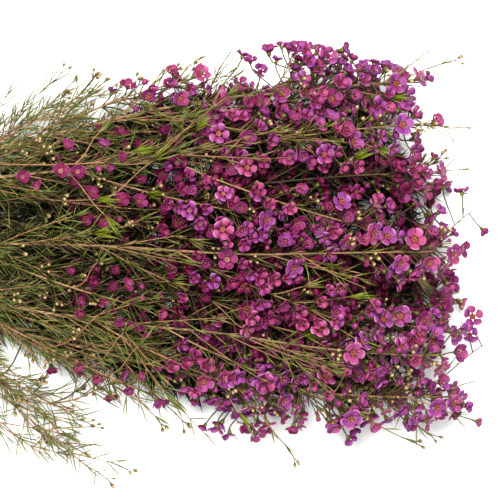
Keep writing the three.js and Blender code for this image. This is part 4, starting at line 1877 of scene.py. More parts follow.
@dataclass
class ClosedBud:
    """A closed bud on its calyx: a globe of folded petals. It stands on the origin and points up."""

    calyx_height: float = 2.6
    calyx_top: float = 1.45
    calyx_foot: float = 0.45
    radius: float = 2.1
    squash: float = 0.92
    sides: int = 8
    rings: int = 6
    surface: Surface = Surface.GLOBE

    def model(self) -> Faces:
        """Models the bud.

        Returns:
            The shape.
        """
        deselect()
        tube = (self.sides, self.calyx_foot, self.calyx_top, self.calyx_height)
        bud = start_calyx(*tube, self.calyx_height * 0.55, 1.2)
        set_down(self._globe)
        bpy.ops.object.mode_set(mode="OBJECT")
        top = (self.calyx_height + self.radius * 1.5) * MM
        return Faces.read(bud, lambda p: p[:, 2] / top)

    def _globe(self) -> None:
        """The globe, grooved where its five petals meet and drawn to a low point."""
        middle = self.calyx_height + self.radius * self.squash * 0.55
        bpy.ops.mesh.primitive_uv_sphere_add(
            segments=10, ring_count=self.rings, radius=self.radius * MM, location=(0, 0, middle * MM)
        )
        bpy.ops.transform.resize(value=(1, 1, self.squash), center_override=(0, 0, middle * MM))
        paint(self.surface)
        narrow(lambda p: math.cos(5 * math.atan2(p[1], p[0])) > 0.5 and math.hypot(p[0], p[1]) > 0.3)
        bpy.ops.transform.resize(value=(0.9, 0.9, 1), center_override=(0, 0, middle * MM))


@dataclass
class NeedleLeaf:
    """A needle leaf of unit length, in millimetres, which stands on the origin and bows a little."""

    radius: float = 1.0
    bow: float = 0.9
    widths: tuple[float, ...] = (1.55, 0.12)
    surface: Surface = Surface.LEAF

    def model(self) -> Faces:
        """Models the leaf: a triangle drawn out in steps to a point.

        Returns:
            The shape, one millimetre long and wide, to be scaled where it grows.
        """
        deselect()
        add_disc(3, self.radius * 0.6)
        leaf = bpy.context.object
        bpy.ops.object.mode_set(mode="EDIT")
        steps = len(self.widths)
        for k, width in enumerate(self.widths):
            bow = self.bow * (math.sin(math.pi * (k + 1) / steps) - math.sin(math.pi * k / steps))
            rise = (0, bow * MM, MM / steps)
            bpy.ops.mesh.extrude_region_move(TRANSFORM_OT_translate={"value": rise})
            bpy.ops.transform.resize(value=(width, width, 1))
        bpy.ops.mesh.select_all(action="SELECT")
        bpy.ops.mesh.normals_make_consistent(inside=False)
        paint(self.surface)
        bpy.ops.object.mode_set(mode="OBJECT")
        return Faces.read(leaf, lambda p: p[:, 2] / MM)


class Tubes:
    """Round stems and stalks, drawn as the splines of one curve that is then made a mesh."""

    def __init__(self, surface: Surface, roundness: int) -> None:
        """Starts with no spline.

        Args:
            surface: what they are made of.
            roundness: the curve's bevel resolution.
        """
        self.surface, self.roundness = surface, roundness
        self.lines: list[tuple[Vec, Vec]] = []

    def add(self, points: Vec, radii: Vec) -> None:
        """Adds a tube along points, in millimetres."""
        self.lines.append((np.asarray(points), np.asarray(radii)))

    def model(self) -> Faces | None:
        """Makes the tubes.

        Returns:
            The shape, or None if there are no tubes.
        """
        if not self.lines:
            return None
        curve = bpy.data.curves.new("shoots", "CURVE")
        curve.dimensions = "3D"
        curve.bevel_depth = MM
        curve.bevel_resolution = self.roundness
        curve.use_fill_caps = True
        for points, radii in self.lines:
            spline = curve.splines.new("POLY")
            spline.points.add(len(points) - 1)
            spline.points.foreach_set("co", np.column_stack([points * MM, np.ones(len(points))]).ravel())
            spline.points.foreach_set("radius", radii)
        drawn = bpy.data.objects.new("shoots", curve)
        bpy.context.collection.objects.link(drawn)
        deselect()
        drawn.select_set(True)
        bpy.context.view_layer.objects.active = drawn
        bpy.ops.object.convert(target="MESH")
        shape = Faces.read(bpy.context.object, lambda p: np.full(len(p), 0.4))
        shape.surfaces[:] = self.surface.value
        # painted shade: stalks, twigs and bark get their tint from how far inside the bunch they lie
        shape.tint = painted_light_at(shape.points / MM)
        return shape


def smooth_line(points: list[Vec], radii: list[float], cuts: int) -> tuple[Vec, Vec]:
    """Bends a row of points into a smooth line through all of them.

    Args:
        points: the points, in millimetres.
        radii: the radius at each.
        cuts: how many steps each stretch is cut in.

    Returns:
        The points and radii of the smooth line.
    """
    rows = np.array([2 * points[0] - points[1], *points, 2 * points[-1] - points[-2]])
    widths = np.interp(np.arange(0, len(points) - 1 + 1e-9, 1 / cuts), np.arange(len(points)), radii)
    line = []
    for k in range(len(points) - 1):
        a, b, c, d = rows[k : k + 4]
        for t in even_parts(cuts)[:-1]:
            bend = (c - a) * t + (2 * a - 5 * b + 4 * c - d) * t**2 + (3 * b - a - 3 * c + d) * t**3
            line.append(b + bend / 2)
    line.append(points[-1])
    return np.array(line), widths


def arc(start: Vec, heading: Vec, end: Vec, facing: Vec, steps: int) -> Vec:
    """A line that leaves along one direction and arrives along another.

    Args:
        start: where it leaves.
        heading: the direction that it leaves along.
        end: where it arrives.
        facing: the direction that it arrives along.
        steps: how many steps it has.

    Returns:
        Its points.
    """
    length = math.sqrt((end - start) @ (end - start))
    b, c = start + heading * length * 0.42, end - facing * length * 0.3
    t = np.linspace(0, 1, steps + 1)[:, None]
    return start * (1 - t) ** 3 + b * 3 * t * (1 - t) ** 2 + c * 3 * t**2 * (1 - t) + end * t**3


# ---- dressing: what grows between the solids


def frame_along(shoot: Shoot, distance: float) -> Frame | None:
    """The frame at a distance along a shoot.

    Args:
        shoot: the shoot.
        distance: how far from its first ring, in millimetres.

    Returns:
        The frame, or None past its end.
    """
    for k in range(1, len(shoot.points)):
        span = shoot.points[k] - shoot.points[k - 1]
        length = math.sqrt(span @ span)
        if distance <= length:
            axis = span / length
            across = square_to(shoot.frames[k - 1].across, axis)
            return Frame(shoot.points[k - 1] + axis * distance, axis, across, cross(axis, across))
        distance -= length
    return None


def painted_light_at(at: Vec) -> Vec:
    """How near places are to the lit skin of the bunch, which sets painted light and shade: far inside is
    painted dark as shade, the skin bright as lit.

    Args:
        at: the places as rows, in millimetres.

    Returns:
        For each, 0 far inside, painted darkest as shade, to 1 at the skin, painted as lit.
    """
    x, y, z = at.T
    along = (0, 120, 300)
    height, half_height = (14, 32, HEAD.height), (14, 34, HEAD.half_height)
    rise = (z - np.interp(x, along, height)) / np.interp(x, along, half_height)
    out = np.hypot(y / np.interp(x, along, (14, 75, HEAD.half_width)), np.where(rise > 0, rise, rise * 0.4))
    front = (x - HEAD.front_at(y) + 80) / 90
    return np.clip((np.maximum(out, front) - 0.3) / 0.6, 0, 1)


def length_of(shoot: Shoot) -> float:
    """How long a shoot is, in millimetres."""
    return float(sum(math.sqrt((b - a) @ (b - a)) for a, b in zip(shoot.points, shoot.points[1:])))


class Blade(NamedTuple):
    """An added needle: a matrix that holds its width and length, and where it stands."""

    matrix: Vec
    foot: Vec


class Knob(NamedTuple):
    """An added young bud: its head's frame, its size against the modelled one, and whether it is cream."""

    head: Frame
    size: float
    is_cream: bool


@dataclass
class Extra:
    """What is added to one solid's piece."""

    twiglets: list[tuple[Shoot, Vec]] = field(default_factory=list)
    blades: list[Blade] = field(default_factory=list)
    lush: list[Blade] = field(default_factory=list)
    shade: list[Blade] = field(default_factory=list)
    stalks: list[tuple[Vec, Vec]] = field(default_factory=list)
    knobs: list[Knob] = field(default_factory=list)
    blooms: list[Bloom] = field(default_factory=list)


@dataclass(frozen=True)
class BladeKind:
    """A kind of added needle: the ranges of its lean and length, its width, and the room it needs."""

    lean: Span
    length: Span
    width: float = 0.42
    room: float = 0.05


@dataclass(frozen=True)
class TwigletKind:
    """A kind of leafy twiglet: how far apart they stand along a shoot, and the range of their length."""

    gap: float
    length: Span


@dataclass(frozen=True)
class ClusterSize:
    """A cluster of young buds: its stalk, the fan that it forks into, and where it is still cream."""

    gap: float = 6
    tries: int = 9
    most_lean: float = 55
    twiglet_lean: float = 12
    tip_lean: float = 14
    least_lean: float = 0.4
    stalk: Span = (5, 12)
    stalk_radii: Span = (0.38, 0.3)
    fewest: int = 2
    more: float = 2.8
    fan_lean: Span = (12, 38)
    fan_stalk: Span = (2.5, 6)
    fan_radius: float = 0.26
    size: Span = (0.54, 0.84)
    bud_length: float = 4.4
    bud_radius: float = 1.7
    ripens_outside: Span = (300, 380)
    cream_share: float = 0.72


PAIRED = BladeKind((14, 58), (11, 26))
HANGING = BladeKind((14, 58), (11, 26), 0.42 * 1.45)
TUFTED = BladeKind((4, 22), (8, 15))
BROAD = BladeKind((3, 22), (10, 21), 0.6, -0.3)
SHADE_FILL = BladeKind((20, 75), (9, 18), 2.5, -1.2)
STEM_TWIGLETS = TwigletKind(7.5, (34, 66))
LOOSE_TWIGLETS = TwigletKind(8, (12, 28))
CLUSTER = ClusterSize()


@dataclass
class Filling:
    """Grows what the solids leave out: flowers, twigs, opposite needles and clusters of young buds.

    Sizes are in millimetres, x is along the bunch and y across it.
    """

    growth: Growth
    seed: int = 77
    leafy: Span = (60, 385)  # where stems and twigs bear leaves, by x
    hanging: float = -88  # the y below which the loose branches hang
    loose_from: float = 96  # a side shoot that is longer is a loose branch
    pair_gap: float = 4.6
    stem_pair_gap: float = 9
    spray_pair_gap: float = 7
    airy: tuple[Span, Span] = ((-100, -62), (1.9, 1.0))  # how much further apart needles stand, by y
    droop: float = 15
    flower_gap: float = 2.3
    flower_tries: int = 11
    flower_overlap: float = 2.0
    flower_lean: Span = (25, 85)
    flower_stalk: Span = (7, 26)
    flower_lowest: float = 6
    reach: Span = (18, 75)  # how far a twiglet may have to reach
    least_forward: float = 0.45
    bearers: int = 5
    gap_tries: int = 900
    gap_x: Span = (240, 436)
    gap_side: float = 128
    gap_heights: Span = (14, 70)
    cell: float = 6.0
    enough: float = 0.8  # the cover of a cell that needs no further flower
    shade_tries: int = 5000
    shade_x: Span = (150, 434)
    shade_side: float = 108
    shade_heights: Span = (2, 24)
    shade_gap: float = 2.4
    shade_overlap: float = 1.6
    hole: float = 2.6  # the size of a cell of the shadow
    shadow_cells: int = 256
    shaded: float = 2.6  # the shadow of a cell that needs no further shade
    tuft_tries: int = 150
    tuft_x: Span = (205, 425)
    tuft_side: float = 105
    tuft_rise: Span = (0.45, 0.86)
    lush_share: float = 0.4
    tip_tries: int = 240
    tip_x: Span = (215, 445)
    tip_bud_share: float = 0.6
    beyond: float = 9  # how far past the box of the solids needles and buds may reach
    far_beyond: float = 12
    far_tries: int = 24
    far_overlap: float = 0.8
    far_tips: tuple[tuple[float, float, bool], ...] = (  # x, y, and whether it is in flower
        (421, 118, False), (424, 106, False), (441, 66, False), (437, 42, False), (448, 17, True),
        (450, -66, True), (443, -90, True), (436, -110, True), (400, -126, False), (410, -121, False),
        (326, -127, False), (350, 120, True), (338, 116, True), (362, 113, True),
    )
    # x, side and height of the places where the edge of the head stands out
    longer: tuple[tuple[float, int, float], ...] = ((348, 1, 12), (290, -1, 8), (402, -1, 8))
    # the open wedge: x and y of its point, its slope and its spread
    parting: tuple[float, float, float, float] = (384, -77, -0.16, 0.24)

    def __post_init__(self) -> None:
        """Starts the second draw, and lists the rings that twiglets can grow from."""
        self.draw = SeededDraw(self.seed)
        self.extras = {name: Extra() for name in self.growth.grown}
        self.low = np.array(CAD_BOX[0]) / MM + 1
        self.high = np.array(CAD_BOX[1]) / MM - 1
        self.cover: dict[tuple[int, int], float] = {}
        self.shadow = np.zeros((self.shadow_cells, self.shadow_cells))
        for node in self.growth.grown.values():
            for bloom in node.blooms:
                self._cover(bloom.head)
        extras, growth = self.extras, self.growth
        self.sprays = [(extras[name_of("spray", k)], spray) for k, spray in enumerate(growth.sprays)]
        self.stems = [(extras[name_of("stem", k)], stem) for k, stem in enumerate(growth.stems)]
        bearers = list(self.sprays)
        for extra, stem in self.stems:
            bearers += [(extra, shoot) for shoot in [stem.axis, *stem.side_shoots]]
        self.rings = []
        for extra, shoot in bearers:
            self.rings += [(extra, shoot, ring) for ring in range(len(shoot.points) - 1)]
        self.places = np.array([shoot.points[ring] for _, shoot, ring in self.rings])

    def grow(self) -> dict[str, Extra]:
        """Grows it all.

        Returns:
            What is added to each solid's piece, by the solid's name.
        """
        for extra, spray in self.sprays:
            self._add_clusters(extra, spray, CLUSTER.gap * 2.4)
        for extra, spray in self.sprays:
            self._add_flowers(extra, spray, self.flower_gap)
        self._fill_gaps()
        self._add_far_tips()
        self._add_tufts()
        self._add_tips()
        for extra, spray in self.sprays:
            self._add_clusters(extra, spray, CLUSTER.gap)
        for extra, stem in self.stems:
            self._add_twiglets(extra, stem.axis, STEM_TWIGLETS)
            for shoot in stem.side_shoots:
                if length_of(shoot) > self.loose_from:
                    self._add_twiglets(extra, shoot, LOOSE_TWIGLETS)
        for extra, stem in self.stems:
            for shoot in [shoot for shoot, _ in extra.twiglets] + stem.side_shoots:
                self._leaf_out(extra, shoot, self.pair_gap, 3)
            self._leaf_out(extra, stem.axis, self.stem_pair_gap, 0)
        for extra, spray in self.sprays:
            self._leaf_out(extra, spray, self.spray_pair_gap, 2)
        self._add_shade()
        return self.extras

    def _is_inside(self, at: Vec, beyond: float = 0) -> bool:
        """Whether a point is inside the box of the solids, or no further than this outside its sides."""
        spare = np.array([beyond, beyond, 0])
        return bool((at > self.low - spare).all() and (at < self.high + spare).all())

    # -- twiglets that reach for a place

    def _keep(self, shoot: Shoot, parent: Shoot, room: float, root_room: float) -> bool:
        """Keeps a twiglet if it is clear.

        Args:
            shoot: the twiglet.
            parent: the shoot that bears it.
            room: how clear of everything it has to be past its root.
            root_room: how clear of everything but its parent all of it has to be.

        Returns:
            True if it was kept.
        """
        thicket, rods = self.growth.thicket, shoot.rods()
        is_clear = thicket.is_clear(rods[1:], room) and thicket.is_clear(rods, root_room, parent.owner)
        if is_clear:
            thicket.add(rods, shoot.owner)
        return is_clear

    def _reach(self, to: Vec, overlap: float = 0) -> tuple[Extra, Shoot, Vec] | None:
        """Grows a twiglet to a place, from the nearest shoot that leaves room for it.

        Args:
            to: where it ends.
            overlap: how far it may press into what is there.

        Returns:
            What it is added to, the twiglet, and the place that it leaves; or None.
        """
        span = to - self.places
        gap = np.sqrt((span**2).sum(axis=1))
        fits = (gap > self.reach[0]) & (gap < self.reach[1]) & (span[:, 0] > self.least_forward * gap)
        for pick in np.argsort(np.where(fits, gap, np.inf))[: min(self.bearers, int(fits.sum()))]:
            extra, parent, ring = self.rings[pick]
            here = parent.frames[ring]
            heading = unit(unit(to - here.at) + here.axis * 0.5)
            start = here.at + heading * parent.radii[ring] * 0.5
            points = list(arc(start, heading, to, unit(to - here.at + FORWARD * 10), 5))
            shoot = Shoot(points, 0.75, 0.5, 3, cross(here.axis, heading))
            if self._keep(shoot, parent, 0.1 - overlap, -overlap):
                return extra, shoot, here.at
        return None

    def _add_reaching(self, to: Vec, overlap: float = 0) -> tuple[Extra, Shoot] | None:
        """Adds a twiglet that reaches a place.

        Args:
            to: where it ends.
            overlap: how far it may press into what is there.

        Returns:
            What it is added to, and the twiglet; or None if nothing leaves room for it.
        """
        if (found := self._reach(to, overlap)) is None:
            return None
        extra, shoot, foot = found
        extra.twiglets.append((shoot, foot))
        return extra, shoot

    # -- flowers

    def _add_flowers(self, extra: Extra, spray: Shoot, distance: float, allowance: float = 0) -> None:
        """Side flowers on stalks of their own, in the room that is left along a spray.

        Args:
            extra: what they are added to.
            spray: what bears them.
            distance: how far along it the first one may stand.
            allowance: how far outside the head they may stand.
        """
        draw, thicket = self.draw, self.growth.thicket
        while (here := frame_along(spray, distance)) is not None:
            distance += self.flower_gap
            for _ in range(self.flower_tries):
                heading = here.leaning(draw.between(*self.flower_lean), draw.azimuth())
                at = here.at + heading * draw.between(*self.flower_stalk)
                is_open = draw.part() < FLOWER.open_share
                outside = HEAD.outside(at + FORWARD * 3) - self._edge(at) - allowance
                if at[2] < self.flower_lowest or outside > 2 or not self._is_inside(at, 7):
                    continue
                if draw.part() > self._bloom_share(at):
                    continue
                around = np.array([draw.around(0.3, 0.5), draw.around(0, 0.5), draw.around(0.2, 0.5)])
                facing = unit(heading + around + HEAD.outward(at) * 0.7)
                head = Growth.stalk_frame(at, facing, heading, here)
                rods = [Rod(here.at + heading * 2, at, 0.35)] + Growth.bloom_rods(head, is_open)
                if thicket.is_clear(rods, -self.flower_overlap):
                    thicket.add(rods)
                    extra.blooms.append(Bloom(head, is_open, here.at, heading))
                    self._cover(head)
                    break

    def _fill_gaps(self) -> None:
        """Flowering twiglets that reach into the places of the head that nothing covers yet."""
        draw = self.draw
        for _ in range(self.gap_tries):
            x, y = draw.between(*self.gap_x), draw.around(HEAD.side, self.gap_side)
            to = np.array([x, y, draw.between(*self.gap_heights)])
            if HEAD.outside(to) > self._edge(to) or self.cover.get(self._cell_of(to), 0) >= self.enough:
                continue
            if draw.part() < self._bloom_share(to) and (found := self._add_reaching(to)):
                extra, shoot = found
                self._add_flowers(extra, shoot, self.flower_gap + length_of(shoot) * 0.45)

    def _edge(self, at: Vec) -> float:
        """How far beyond the head's even outline its longer sprays reach, by place."""
        near = [(x, height) for x, side, height in self.longer if side * at[1] > 0]
        return sum(height * math.exp(-(((at[0] - x) / 16) ** 2)) for x, height in near)

    def _bloom_share(self, at: Vec) -> float:
        """The share of free places that bear a flower, as flowers mass in winding streaks.

        Args:
            at: the place.

        Returns:
            The share, from 0 to 1.
        """
        if self._is_parted(at):
            return 0.0
        streak = math.sin(at[1] / 7.5 + 1.9 * math.sin(at[0] / 43) + at[2] / 17)
        return float(np.interp(at[0], *FLOWERY) * np.clip(0.8 + 0.6 * streak, 0.14, 1))

    def _is_parted(self, at: Vec) -> bool:
        """Whether a place is in the open wedge between the lowest sprays and the rest."""
        x, y, slope, spread = self.parting
        past = at[0] - x
        return bool(past > 0 and abs(at[1] - y - slope * past) < spread * past)

    def _cell_of(self, at: Vec) -> tuple[int, int]:
        """The cell of the cover that a place lies over."""
        return int(at[0] // self.cell), int(at[1] // self.cell)

    def _cover(self, head: Frame) -> None:
        """Notes the cells that a flower covers, seen from above at six spots of its petals.

        Args:
            head: the flower's frame.
        """
        middle = head.at + head.axis * FLOWER.calyx
        for azimuth in even_angles(6):
            cell = self._cell_of(middle + head.leaning(90, azimuth) * 3.6)
            self.cover[cell] = self.cover.get(cell, 0) + 1 / 6

    # -- leaves

    def _add_twiglets(self, extra: Extra, parent: Shoot, kind: TwigletKind) -> None:
        """Leafy twiglets along the leafy part of a stem or loose branch, some with buds at the end.

        Args:
            extra: what they are added to.
            parent: what bears them.
            kind: their spacing and length.
        """
        draw = self.draw
        distance = kind.gap * draw.between(0.5, 1.5)
        while (here := frame_along(parent, distance)) is not None:
            distance += kind.gap * draw.between(0.7, 1.3)
            if not self.leafy[0] < here.at[0] < self.leafy[1]:
                continue
            for _ in range(5):
                heading = here.leaning(draw.between(18, 46), draw.azimuth())
                drift = FORWARD * draw.between(0, 0.5) + UP * draw.around(0, 0.2)
                length = draw.between(*kind.length)
                points = Growth.grow_points(here.at + heading, heading, length, even_parts(4), drift)
                shoot = Shoot(points, 0.7, 0.35, 3, cross(here.axis, heading))
                if not self._is_inside(points[-1], 4) or not self._is_inside(points[2]):
                    continue
                if self._keep(shoot, parent, 0.3, 0.3):
                    extra.twiglets.append((shoot, here.at))
                    if draw.part() < (0.7 if here.at[1] < self.hanging else 0.2):
                        self._add_cluster(extra, shoot.end, CLUSTER.twiglet_lean)
                    break

    def _leaf_out(self, extra: Extra, shoot: Shoot, gap: float, tuft: int) -> None:
        """Opposite pairs of needles along a shoot, each pair square to the last, and a tuft at its end.

        Args:
            extra: what they are added to.
            shoot: what bears them.
            gap: how far apart the pairs stand, before it varies.
            tuft: how many needles the tuft has.
        """
        draw = self.draw
        distance = gap * draw.between(0.6, 1.2)
        turn = draw.between(0, math.pi)
        whole = length_of(shoot)
        while (here := frame_along(shoot, distance)) is not None:
            young = distance / whole
            for side in (0, math.pi):
                if here.at[0] > self.leafy[0]:
                    hangs = here.at[1] < self.hanging
                    kind = HANGING if hangs else PAIRED
                    lean = draw.between(*kind.lean) - 10 * young + (self.droop if hangs else 0)
                    azimuth = turn + side + draw.around(0, 0.6)
                    length = draw.between(*kind.length)
                    self._add_blade(extra.blades, shoot, here, kind, lean, azimuth, length)
            turn += math.pi / 2
            distance += gap * draw.between(0.6, 1.4) * np.interp(here.at[0], *BARE)
            distance += gap * (np.interp(here.at[1], *self.airy) - 1)
        for _ in range(tuft):
            azimuth, lean, length = draw.azimuth(), draw.between(*TUFTED.lean), draw.between(*TUFTED.length)
            self._add_blade(extra.blades, shoot, shoot.end, TUFTED, lean, azimuth, length)

    def _add_any_blade(self, blades: list[Blade], shoot: Shoot, here: Frame, kind: BladeKind) -> None:
        """Adds one needle of a kind that leans any way from its shoot, if there is room."""
        lean, azimuth = self.draw.between(*kind.lean), self.draw.azimuth()
        self._add_blade(blades, shoot, here, kind, lean, azimuth, self.draw.between(*kind.length))

    def _add_blade(
        self, blades: list[Blade], shoot: Shoot, here: Frame, kind: BladeKind, lean: float, azimuth: float,
        length: float,
    ) -> None:
        """Adds one needle to some, if there is room.

        Args:
            blades: the needles that it joins.
            shoot: the shoot that bears it.
            here: the shoot's frame where it grows.
            kind: its width, and how clear it has to be of what is there.
            lean: how far it leans from the shoot, in degrees.
            azimuth: which way it leans, in radians.
            length: how long it is.
        """
        heading = here.leaning(lean, azimuth)
        foot = here.at + heading * 0.2
        tip = foot + heading * length
        if tip[2] < 0.5:
            tip[2] = 0.5 + self.draw.between(0, 3)
            heading = unit(tip - foot)
            tip = foot + heading * length
        rods = [Rod(here.at + heading * 2, tip, 0.3)]
        if not self._is_inside(tip, self.beyond) or self._is_parted(tip):
            return
        if not self.growth.thicket.is_clear(rods, kind.room, shoot.owner):
            return
        across = square_to(cross(here.axis, heading), heading)
        up = cross(heading, across)
        flip = 1 if self.draw.part() < 0.7 else -1
        wide = kind.width * self.draw.between(0.8, 1.15)
        thick = min(wide, 0.5)
        columns = [across * wide * flip, up * thick * flip, heading * length]
        blades.append(Blade(np.stack(columns, axis=1), foot))

    # -- shade

    def _shadow_at(self, spots: Vec) -> tuple[Vec, Vec]:
        """The column and row in the shadow of places that lie over it."""
        cells = ((spots - self.low[:2]) / self.hole).astype(int).clip(0, self.shadow_cells - 1)
        return cells[..., 0], cells[..., 1]

    def _note_shadow(self, starts: Vec, spans: Vec, radii: Vec) -> None:
        """Adds the areas that some rods cover, seen from above, to the cells that they lie over.

        Args:
            starts: where each rod starts, as rows.
            spans: from the start to the end of each.
            radii: the radius of each.
        """
        parts = np.linspace(0, 1, 14)[:, None, None]
        across = np.stack([-spans[:, 1], spans[:, 0]], axis=1)
        long = np.sqrt((across**2).sum(axis=1))
        across *= (radii / np.maximum(long, 1e-6))[:, None]
        along = (starts[None] + spans[None] * parts)[..., :2]
        spots = np.concatenate([along + across * side for side in (-0.7, 0, 0.7)])
        area = np.broadcast_to(long * radii * 2 / len(spots), spots.shape[:2]) / self.hole**2
        np.add.at(self.shadow, self._shadow_at(spots), area)

    def _add_shade(self) -> None:
        """Twigs of near-black needles low in the bunch, put there as painted shade, which close the view
        through it where it is open.
        """
        draw, thicket = self.draw, self.growth.thicket
        kept = slice(thicket.count)
        self._note_shadow(thicket.starts[kept], thicket.spans[kept], thicket.radii[kept])
        for _ in range(self.shade_tries):
            x, y = draw.between(*self.shade_x), draw.around(HEAD.side, self.shade_side)
            to = np.array([x, y, draw.between(*self.shade_heights)])
            if self.shadow[self._shadow_at(to[:2])] > self.shaded or not self._is_deep(to):
                continue
            if (found := self._reach(to, self.shade_overlap)) is None:
                continue
            extra, shoot, foot = found
            first = len(extra.shade)
            extra.stalks.append((np.array([foot, *shoot.points]), np.full(len(shoot.points) + 1, 0.5)))
            distance = length_of(shoot) * 0.4
            while (here := frame_along(shoot, distance)) is not None:
                distance += self.shade_gap
                for _ in range(3 if self._is_deep(here.at) else 0):
                    self._add_any_blade(extra.shade, shoot, here, SHADE_FILL)
            if added := extra.shade[first:]:
                feet = np.array([blade.foot for blade in added])
                ways = np.array([blade.matrix[:, 2] for blade in added])
                self._note_shadow(feet, ways, np.full(len(added), 0.9))

    @staticmethod
    def _is_deep(at: Vec) -> bool:
        """Whether a place is well inside the outline of the head and stems."""
        y = HEAD.side + (at[1] - HEAD.side) * 1.22
        return HEAD.outside(np.array([at[0] + 24, y, HEAD.height])) == 0

    # -- tufts and tips

    def _add_tufts(self) -> None:
        """Tufts of broad young needles that stand out of the lit skin of the head."""
        draw = self.draw
        for _ in range(self.tuft_tries):
            x, y = draw.between(*self.tuft_x), draw.around(HEAD.side, self.tuft_side)
            out = HEAD.outward(np.array([x, y, HEAD.height]))[1]
            rise = math.sqrt(max(0.0, 1 - out * out)) * HEAD.half_height
            to = np.array([x, y, HEAD.height + rise * draw.between(*self.tuft_rise)])
            if HEAD.outside(to + FORWARD * 14) > 0 or (found := self._add_reaching(to)) is None:
                continue
            extra, shoot = found
            blades = extra.lush if draw.part() < self.lush_share else extra.blades
            for _ in range(9 + int(draw.part() * 7)):
                self._add_any_blade(blades, shoot, shoot.end, BROAD)

    def _add_far_tips(self) -> None:
        """The few long tips that stand furthest out of the head, some leafy and some in flower."""
        draw = self.draw
        for x, y, in_flower in self.far_tips:
            for _ in range(self.far_tries):
                to = np.array([draw.around(x, 3), draw.around(y, 3), HEAD.height + draw.around(4, 22)])
                if not self._is_inside(to, self.far_beyond):
                    continue
                if (found := self._add_reaching(to, self.far_overlap)) is None:
                    continue
                extra, shoot = found
                if in_flower:
                    self._add_flowers(extra, shoot, length_of(shoot) * 0.5, 12)
                self._leaf_out(extra, shoot, self.pair_gap, 3)
                self._add_cluster(extra, shoot.end, CLUSTER.tip_lean)
                break

    def _add_tips(self) -> None:
        """Leafy tips with young buds, which stand out of the edge of the head."""
        draw = self.draw
        for _ in range(self.tip_tries):
            x = draw.between(*self.tip_x)
            side = 1 if draw.part() < 0.5 else -1
            y = HEAD.side + side * (1 - draw.part() ** 2 * 0.9) * HEAD.half_width_at(x) * 1.08
            to = np.array([x, y, HEAD.height + draw.around(0, 26)])
            outside = HEAD.outside(to) - self._edge(to)
            if not -4 < outside < self.beyond or not self._is_inside(to, self.far_beyond):
                continue
            if (found := self._add_reaching(to)) is None:
                continue
            extra, shoot = found
            self._leaf_out(extra, shoot, self.pair_gap, 4)
            if draw.part() < self.tip_bud_share:
                self._add_cluster(extra, shoot.end, CLUSTER.tip_lean)

    # -- young buds

    def _add_clusters(self, extra: Extra, spray: Shoot, gap: float) -> None:
        """Clusters of young buds on forked stalks along a spray, some way apart.

        Args:
            extra: what they are added to.
            spray: what bears them.
            gap: how far apart they stand, before it varies.
        """
        distance = gap * self.draw.between(0.5, 1.5)
        while (here := frame_along(spray, distance)) is not None:
            any(self._add_cluster(extra, here, CLUSTER.most_lean) for _ in range(CLUSTER.tries))
            distance += gap * self.draw.between(0.7, 1.3) * np.interp(here.at[0], RIPENS, (2, 1))

    def _add_cluster(self, extra: Extra, here: Frame, most_lean: float) -> bool:
        """One cluster of young buds on a forked stalk, and whether it had room.

        Args:
            extra: what it is added to.
            here: the frame of the shoot where it grows.
            most_lean: how far its stalk may lean from the shoot, in degrees.

        Returns:
            True if it was added.
        """
        draw, thicket = self.draw, self.growth.thicket
        heading = here.leaning(draw.between(most_lean * CLUSTER.least_lean, most_lean), draw.azimuth())
        fork = here.at + heading * draw.between(*CLUSTER.stalk)
        count = CLUSTER.fewest + int(draw.part() * CLUSTER.more)
        azimuth = draw.azimuth()
        across = square_to(here.across, heading)
        fan = Frame(fork, heading, across, cross(heading, across))
        planned = []
        for k in range(count):
            way = fan.leaning(draw.between(*CLUSTER.fan_lean), azimuth + k * 2 * math.pi / count)
            at = fork + way * draw.between(*CLUSTER.fan_stalk)
            planned.append((at, way, draw.between(*CLUSTER.size)))
        length, radius = CLUSTER.bud_length, CLUSTER.bud_radius
        rods = [Rod(here.at + heading * 1.8, fork, 0.35)]
        rods += [Rod(at, at + way * length * size, radius * size) for at, way, size in planned]
        is_inside = all(self._is_inside(rod.end, self.beyond) for rod in rods)
        if not is_inside or not thicket.is_clear(rods, 0.1):
            return False
        thicket.add(rods)
        ripens = CLUSTER.ripens_outside if HEAD.outside(here.at) > 0 else RIPENS
        is_cream = draw.part() < np.interp(here.at[0], ripens, (1, CLUSTER.cream_share))
        extra.stalks.append((np.array([here.at, fork]), np.array(CLUSTER.stalk_radii)))
        for at, way, size in planned:
            stalk = arc(fork - heading * 0.4, heading, at, way, 2)
            extra.stalks.append((stalk, np.full(3, CLUSTER.fan_radius)))
            head = Growth.stalk_frame(at - way * 0.3, way, way, fan)
            extra.knobs.append(Knob(head, size, is_cream))
        return True


# ---- dressing: the pieces


